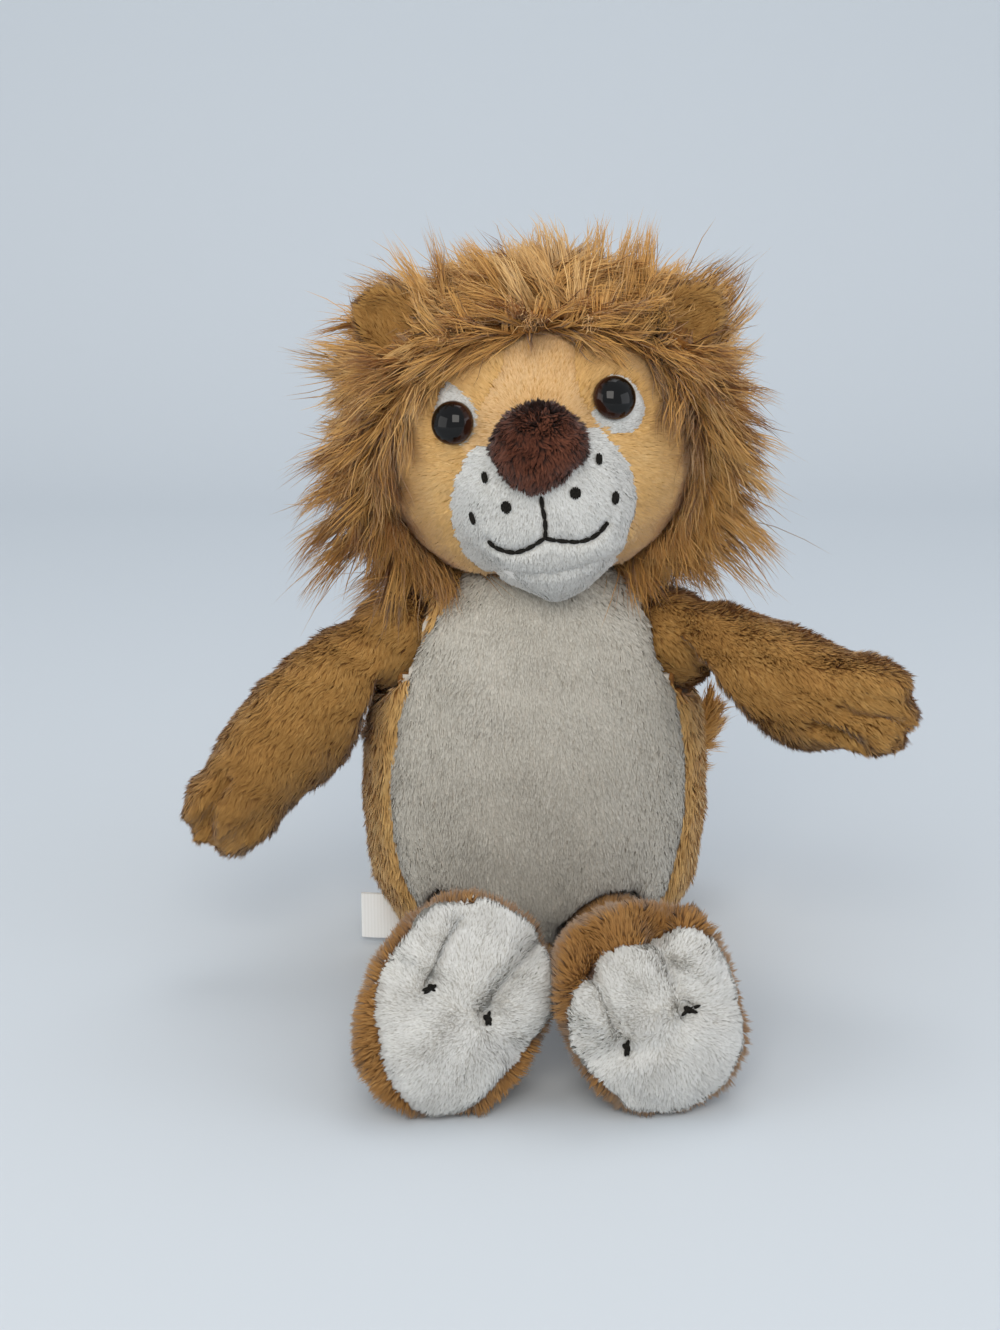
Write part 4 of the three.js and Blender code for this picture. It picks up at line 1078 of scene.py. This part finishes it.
# %% Arms and their pile
finger_lines = {"left": [[(836, 709), (858, 718), (900, 721)], [(811, 728), (833, 732), (856, 744)]],
                "right": [[(227, 779), (214, 802), (208, 824), (211, 839)]]}
arm_trees = []
for side, sign in (("left", 1), ("right", -1)):
    arm = sewn_skin(f"arm_{side}_skin", [f"arm_{side}", f"arm_stuffing_{side}"], voxel=1.8 * mm, rounds=2,
                    inset=0.7 * mm)
    stitch_lines(arm, finger_lines[side], depth=3.2 * mm, width=4.0 * mm)
    arm_trees.append(skin_tree(arm))
    low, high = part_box(f"arm_{side}")
    shoulder = Vector((sign * 32, 0, 100)) * mm
    hand = Vector((high.x if sign > 0 else low.x, low.y, low.z))
    heading = (hand - shoulder).normalized()
    hair = coat(f"arm_{side}_pile", arm, per_square_mm=9.0, length=3.6 * mm, width=0.45 * mm,
                flow=toward(heading + Vector((0, -0.4, -0.3))), lean=0.7, per_lock=8, clump=0.45, mess=0.24,
                wave=5 * mm, seed=151)
    dress(hair, f"{side}_arm", brown_pile)
    dress(arm, f"{side}_arm", brown_backing, [f"arm_{side}"])

# %% [markdown]
# ## Legs and soles
# A foot's white sole is set into the brown upper. Two black ties draw it in, which makes three toes and a
# heel, with creases between the ties. The borders and creases follow the photograph.

# %% Borders and creases of the soles
sole_outlines = {
    "right": [(468, 901), (440, 904), (419, 917), (402, 938), (386, 965), (379, 990), (380, 1044),
              (395, 1089), (421, 1113), (448, 1119), (481, 1101), (516, 1061), (540, 1032), (554, 996),
              (555, 972), (546, 950), (535, 928), (516, 907), (493, 898)],
    "left": [(595, 973), (603, 957), (630, 946), (655, 941), (668, 932), (690, 928), (715, 938), (733, 959),
             (744, 1000), (748, 1040), (741, 1075), (715, 1107), (690, 1118), (660, 1119), (632, 1111),
             (600, 1081), (578, 1056), (567, 1021), (575, 993)]}
toe_grooves = {
    "right": [[(461, 924), (446, 950), (433, 987)], [(537, 946), (522, 967), (499, 993), (486, 1018)]],
    "left": [[(596, 977), (606, 994), (616, 1022), (626, 1048)],
             [(659, 939), (668, 962), (679, 994), (687, 1010)]]}
sole_creases = {
    "right": [[(433, 987), (415, 978), (398, 970)], [(433, 987), (448, 1003), (463, 1012), (486, 1018)],
              [(486, 1018), (499, 1032), (513, 1050)]],
    "left": [[(626, 1048), (607, 1057), (590, 1061)], [(626, 1048), (647, 1047), (667, 1043), (687, 1010)],
             [(687, 1010), (714, 1010), (741, 1005)]]}
upper_creases = {"right": [], "left": [[(666, 906), (661, 918), (657, 930)]]}
tie_spots = {"right": [(433, 987), (486, 1018)], "left": [(626, 1048), (687, 1010)]}
for side in sides:
    creases = toe_grooves[side] + sole_creases[side] + upper_creases[side]
    print(side, "foot:", len(sole_outlines[side]), "points round the sole,", len(creases), "creases")

# %% Legs, soles and toe ties
# steps of the picture from a tie's middle to the ends of its thread
tie_tails = {"right": ([(-9, 2), (-7, 5), (4, -3)], [(1, -7), (-2, 6), (2, 6)]),
             "left": ([(-2, 9), (1, 8), (1, -6)], [(11, -4), (8, 3), (-7, 6)])}
knot_lift, knot_radius, knot_half = 0.9 * mm, 0.85 * mm, Vector((0.7, 0, -0.5)) * mm
tail_lift, tail_radius = 1.5 * mm, 0.5 * mm
groove_clearance = 0.2 * mm
foot_sag = {"left": 3.6 * mm, "right": 0.0}
sagging_height = 14.0 * mm


def sagged(piece, side):
    """Lowers the top of a foot, as the left one sags in the picture."""
    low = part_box(f"leg_{side}")[1].z - sagging_height
    for vertex in piece.data.vertices:
        vertex.co.z -= foot_sag[side] * min(max((vertex.co.z - low) / sagging_height, 0), 1)


for side in sides:
    leg = sewn_skin(f"leg_{side}_skin", [f"leg_{side}", f"sole_{side}", f"leg_stuffing_{side}"],
                    voxel=1.9 * mm, rounds=2, inset=0.7 * mm)
    sagged(leg, side)
    if upper_creases[side]:
        stitch_lines(leg, upper_creases[side], depth=2.6 * mm, width=6.0 * mm)
    stitch_lines(leg, toe_grooves[side], depth=1.1 * mm, width=5.5 * mm)
    stitch_lines(leg, toe_grooves[side], depth=1.5 * mm, width=1.9 * mm)
    stitch_lines(leg, sole_creases[side], depth=1.2 * mm, width=5.0 * mm)
    foot_tree = skin_tree(leg)
    groove_places = places_on(foot_tree, toe_grooves[side] + sole_creases[side])
    sole_middle = centre(f"sole_{side}")
    leg_groups = {f"leg_{side}_panel": [f"leg_{side}"], f"sole_{side}_panel": [f"sole_{side}"]}
    panels = cut_panels(leg, leg_groups, {f"sole_{side}_panel": sole_outlines[side]}, seam_depth=1.0 * mm)
    upper, sole = panels.values()
    hair = coat(f"leg_{side}_pile", upper, per_square_mm=8.0, length=3.4 * mm, width=0.48 * mm,
                flow=away_from(sole_middle + Vector((0, -4, 0)) * mm), lean=0.5, per_lock=5, clump=0.3,
                mess=0.2, wave=5 * mm, curve=0.6, seed=161)
    # The upper's pile is the brown darkened as painted shade.
    dress(hair, f"{side}_leg", shaded_foot_pile)
    hair = coat(f"sole_{side}_pile", sole, per_square_mm=16.0, length=1.7 * mm, width=0.4 * mm,
                flow=away_from(sole_middle + Vector((0, 10, -6)) * mm), lean=0.6, mess=0.16, wave=5 * mm,
                clump=0.3, seed=171, bare=[(groove_places, groove_clearance)])
    dress(hair, f"{side}_leg", white_pile)
    dress(with_wall(upper), f"{side}_leg", brown_backing, [f"leg_{side}"])
    dress(with_wall(sole), f"{side}_leg", white_backing, [f"sole_{side}"])
    for number, (x, y) in enumerate(tie_spots[side]):
        knot = bmesh.new()
        place, normal = spot_on(foot_tree, (x, y))
        middle = place + normal * knot_lift
        for tail_x, tail_y in tie_tails[side][number]:
            end = spot_on(foot_tree, (x + tail_x, y + tail_y))[0]
            add_stitch(knot, middle, end + normal * tail_lift, normal, tail_radius)
        add_stitch(knot, middle - knot_half, middle + knot_half, normal, knot_radius)
        tie_name = f"toe_tie_{side}_{number + 1}"
        thread_piece(tie_name + "_thread", knot, f"{side}_leg", tie_name)

# %% [markdown]
# ## Ears and tail
# The ears are small cups of the brown plush that stand out through the mane. The tail is a thin stuffed
# tube that ends in a tuft of the mane's fur.

# %% Ears, tail cord and tuft
for side in sides:
    ear = sewn_skin(f"ear_{side}_skin", [f"ear_{side}"], voxel=1.2 * mm, rounds=3, inset=0.8 * mm)
    hair = coat(f"ear_{side}_pile", ear, per_square_mm=11.0, length=3.5 * mm, width=0.42 * mm,
                flow=away_from(head_centre), lean=0.6, clump=0.3, mess=0.2, seed=181)
    dress(hair, "head", brown_pile)
    dress(ear, "head", brown_backing, [f"ear_{side}"])
tail = sewn_skin("tail_skin", ["tail_cord"], voxel=1.2 * mm, rounds=3, inset=0.7 * mm)
hair = coat("tail_pile", tail, per_square_mm=5.0, length=3.0 * mm, width=0.45 * mm,
            flow=toward(centre("tail_tuft") - centre("tail_cord")), lean=0.75, seed=191)
dress(hair, "tail", brown_pile)
dress(tail, "tail", brown_backing, ["tail_cord"])
tuft = sewn_skin("tuft_core", ["tail_tuft"], voxel=1.2 * mm, rounds=3, inset=3.0 * mm)
hair = coat("tuft_fur", tuft, per_square_mm=9.0, length=11.0 * mm, width=0.45 * mm,
            flow=toward((0.5, 0.1, 1)), lean=0.8, per_lock=25, clump=0.7, steps=4, mess=0.2, stray=0.15,
            crinkle=0.6 * mm, seed=201)
dress(hair, "tail", mane_pile)
dress(tuft, "tail", mane_backing, ["tail_tuft"])

# %% [markdown]
# ## Mane
# The mane is a hood of long straight fur. Its cloth lies well below the top of the fur. A short thick
# undercoat hides the cloth, and long hair gathers in soft locks over it. The locks stand away from the
# face all round, lean back at the top and hang down over the shoulders, where they lie on the arms.

# %% Hood cloth
hood_depth = 8.0 * mm


def hood_inset(place, normal):
    """How far the hood's cloth lies below the top of its fur: only its outer side moves in."""
    outward = (place - Vector(head_centre)).normalized()
    return hood_depth * max(0.0, normal.dot(outward))


hood_groups = {"ruff_cloth": ["mane_ruff"], "hood_cloth": ["mane_back"]}
hood = sewn_skin("hood_skin", ["mane_ruff", "mane_back"], voxel=2.2 * mm, rounds=3, inset=hood_inset,
                 subdivided=False)
hood_panels = cut_panels(hood, hood_groups, seam_depth=0.0)

# %% Long fur in locks
ear_middles = [np.array(centre(f"ear_{side}")) for side in sides]
ear_shift = 4.0 * mm
ear_clearance = 10.5 * mm
hairline_width = 7.0 * mm
crown_reach = 32.0 * mm
root_gap, gap_growth = 0.8, 2.2
skin_reach = 20 * mm
mane_swirl_size, fringe_swirl_size = 45 * mm, 20 * mm
longest_fur = 25.0 * mm
crown_trim, side_growth, hem_growth = 0.12, 0.2, 0.35


def clear_of_skins(points, share):
    """Keeps the points of a lock outside the head, the body and the arms, and behind the ears' tips. The
    gap grows from root to tip."""
    gap = (root_gap + gap_growth * share) * mm
    moved = np.array(points)
    for number, point in enumerate(points):
        place = Vector(point)
        for tree in [head_tree, body_tree, *arm_trees]:
            near, normal = tree.find_nearest(place, skin_reach)[:2]
            if near is not None and (place - near).dot(normal) < gap:
                place = near + normal * gap
        moved[number] = place
    for ear in ear_middles:
        outward = unit((ear - head_centre)[None, :] * np.array([1, 0, 1]))[0]
        away = moved - (ear + ear_shift * outward)
        before_ear = (np.hypot(away[:, 0], away[:, 2]) < ear_clearance) & (away[:, 1] < ear_shift)
        moved[before_ear, 1] = ear[1] + ear_shift
    return moved


def mane_flow(roots):
    """Mane hair stands away from the face all round, leans back, more so at the top, and hangs lower
    down. Where the hood meets the face it first grows forward, as a fringe."""
    sideways = (roots - head_centre) * np.array([1, 0, 1])
    outer = np.clip(np.linalg.norm(sideways, axis=1, keepdims=True) / crown_reach, 0, 1) ** 2
    radial = unit(unit(sideways) * outer - np.array([0, 0, 1]) * (1 - outer))
    high = radial[:, 2:3]
    hang = np.clip(0.35 - high, 0, 1.2)
    fringe = np.clip(1 - hairline_gap(roots)[:, None] / hairline_width, 0, 1)
    back = 0.3 + 0.5 * np.clip(high, 0, 1) - 1.3 * fringe
    swirl = wavy(roots, mane_swirl_size, 301) * np.array([1, 0.3, 0.6])
    return unit(radial + back * np.array([0, 1, 0]) - np.array([0, 0, 0.5]) * hang + 0.3 * swirl)


def mane_length(roots):
    """The mane is trimmed shorter over the head and grows longer low down, where it hangs."""
    radial = unit((roots - head_centre) * np.array([1, 0, 1]))
    high, low = radial[:, 2], np.clip(-radial[:, 2], 0, 1)
    trimmed = 1 - crown_trim * np.clip(high, 0, 1) ** 0.5
    return longest_fur * (trimmed + side_growth * low + hem_growth * low ** 2)


def hairline_gap(roots):
    """How far each root is from the head's skin."""
    return np.array([head_tree.find_nearest(root)[3] for root in roots])


def fringe_flow(roots):
    """The fringe parts over the forehead and lies sideways and down along the edge of the face."""
    radial = unit((roots - head_centre) * np.array([1, 0, 1]))
    turned_side = np.sign(roots[:, :1] - head_centre[0])
    along_edge = np.stack([radial[:, 2], np.zeros(len(roots)), -radial[:, 0]], 1) * turned_side
    swirl = wavy(roots, fringe_swirl_size, 305) * np.array([1, 0.3, 1])
    return unit(0.8 * along_edge + 0.6 * radial + np.array([0, -0.5, 0]) + 0.35 * swirl)


locks_per_square_mm = {"ruff": 1.5, "hood": 1.0}
for number, (cloth_name, node_names) in enumerate(hood_groups.items()):
    cloth = hood_panels[cloth_name]
    part = cloth_name.replace("_cloth", "")
    under = coat(part + "_undercoat", cloth, per_square_mm=1.3, length=12 * mm, width=0.5 * mm,
                 flow=mane_flow, lean=0.55, per_lock=10, clump=0.4, steps=2, mess=0.25, wave=8 * mm,
                 curve=0.8, droop=0.2, seed=211 + number, push=clear_of_skins)
    dress(under, "head", mane_pile)
    locks = coat(part + "_locks", cloth, per_square_mm=locks_per_square_mm[part], length=mane_length,
                 width=0.34 * mm, flow=mane_flow, lean=0.62, per_lock=50, clump=0.55, steps=4, mess=0.2,
                 wave=16 * mm, curve=0.9, droop=0.5, stray=0.12, crinkle=0.8 * mm, seed=231 + number,
                 push=clear_of_skins)
    dress(locks, "head", mane_pile)
    if part == "ruff":
        fringe = coat("ruff_fringe", cloth, per_square_mm=2.2, length=18 * mm, width=0.36 * mm,
                      flow=fringe_flow, lean=0.55, per_lock=25, clump=0.5, steps=4, mess=0.2, wave=12 * mm,
                      curve=0.8, droop=0.35, stray=0.15, crinkle=0.6 * mm, seed=251, push=clear_of_skins,
                      only=lambda roots: hairline_gap(roots) < hairline_width)
        dress(fringe, "head", mane_pile)
    dress(with_wall(cloth), "head", mane_backing, node_names)

# %% [markdown]
# ## Inside
# The fibre filling, the pellet bag and the eyes' washers are real pieces of the toy, though no one sees
# them. The filling is lumpy and soft, so it is a smoothed skin round each plain solid.

# %% Filling, pellet bag and washers
fillings = {"body_filling": ("torso", "fibre", fibre, "body_stuffing", 0.8),
            "pellets_in_bag": ("torso", "bag_cloth", bag_cloth, "pellet_bag", 0.7),
            "head_filling": ("head", "fibre", fibre, "head_stuffing", 0.8)}
for side in sides:
    for limb in ("arm", "leg"):
        fillings[f"{limb}_filling_{side}"] = (f"{side}_{limb}", "fibre", fibre,
                                              f"{limb}_stuffing_{side}", 0.8)
limb_depth, body_depth = 2.8 * mm, 0.4 * mm
for piece_name, (body, slot, finish, node_name, fill) in fillings.items():
    depth = limb_depth if node_name.startswith(("arm", "leg")) else body_depth
    filling = sewn_skin(piece_name, [node_name], voxel=2.5 * mm, rounds=3, inset=depth, subdivided=False)
    if piece_name.startswith("leg"):
        sagged(filling, piece_name.rsplit("_", 1)[1])
    dress(filling, body, finish, [node_name])

washer_profile = [(0.0, 0.6), (1.9, 0.6), (2.3, 1.2), (3.0, 1.2), (3.3, 0.3), (5.3, 0.2), (5.5, 0.0),
                  (5.3, -0.4), (0.0, -0.4)]
for side, (seat, axis, washer_middle) in eye_seats.items():
    washer = turned(f"safety_washer_{side}", [(r * mm, h * mm) for r, h in washer_profile], spins=40,
                    place=washer_middle, axis=-axis)
    dress(washer, "head", washer_plastic, [f"eye_washer_{side}"])

# %% [markdown]
# ## Care label
# A strip of white satin ribbon is folded once and caught in the side seam. A line drawn along the folded
# strip, as seen from above, is extruded by the ribbon's width and given its thickness. A thin box would
# not show the fold or the slight bow of its two halves.

# %% Folded label
label_low, label_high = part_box("care_label")
ribbon_width = label_high.z - label_low.z
ribbon_thickness = 0.25 * mm
fold_radius = 0.6 * mm
front_bow, back_bow = 0.8 * mm, 0.48 * mm
half_steps, fold_steps = 8, 6
middle_y = (label_low.y + label_high.y) / 2
run = label_high.x - label_low.x - fold_radius


def half_strip(steps, y, bow):
    """Points along one half of the strip, which bows forward."""
    return [(label_high.x - run * share, y - bow * math.sin(math.pi * share))
            for share in (step / half_steps for step in steps)]


profile = half_strip(range(half_steps + 1), middle_y - fold_radius, front_bow)
for step in range(1, fold_steps + 1):
    angle = math.pi * step / fold_steps
    profile.append((label_high.x - run - fold_radius * math.sin(angle),
                    middle_y - fold_radius * math.cos(angle)))
profile += half_strip(range(half_steps - 1, -1, -1), middle_y + fold_radius, back_bow)
ribbon = bmesh.new()
line = [ribbon.verts.new((x, y, label_low.z)) for x, y in profile]
extruded(ribbon, [ribbon.edges.new(pair) for pair in zip(line, line[1:])], (0, 0, ribbon_width))
bmesh.ops.recalc_face_normals(ribbon, faces=ribbon.faces)
bmesh.ops.solidify(ribbon, geom=ribbon.faces[:], thickness=ribbon_thickness)
label = placed_mesh("folded_care_label", ribbon)
dress(label, "torso", label_satin, ["care_label"])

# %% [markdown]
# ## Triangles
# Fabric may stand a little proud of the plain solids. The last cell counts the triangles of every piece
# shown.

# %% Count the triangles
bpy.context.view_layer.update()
triangles = 0
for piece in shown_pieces():
    piece.data.calc_loop_triangles()
    triangles += len(piece.data.loop_triangles)
print("triangles shown:", triangles)
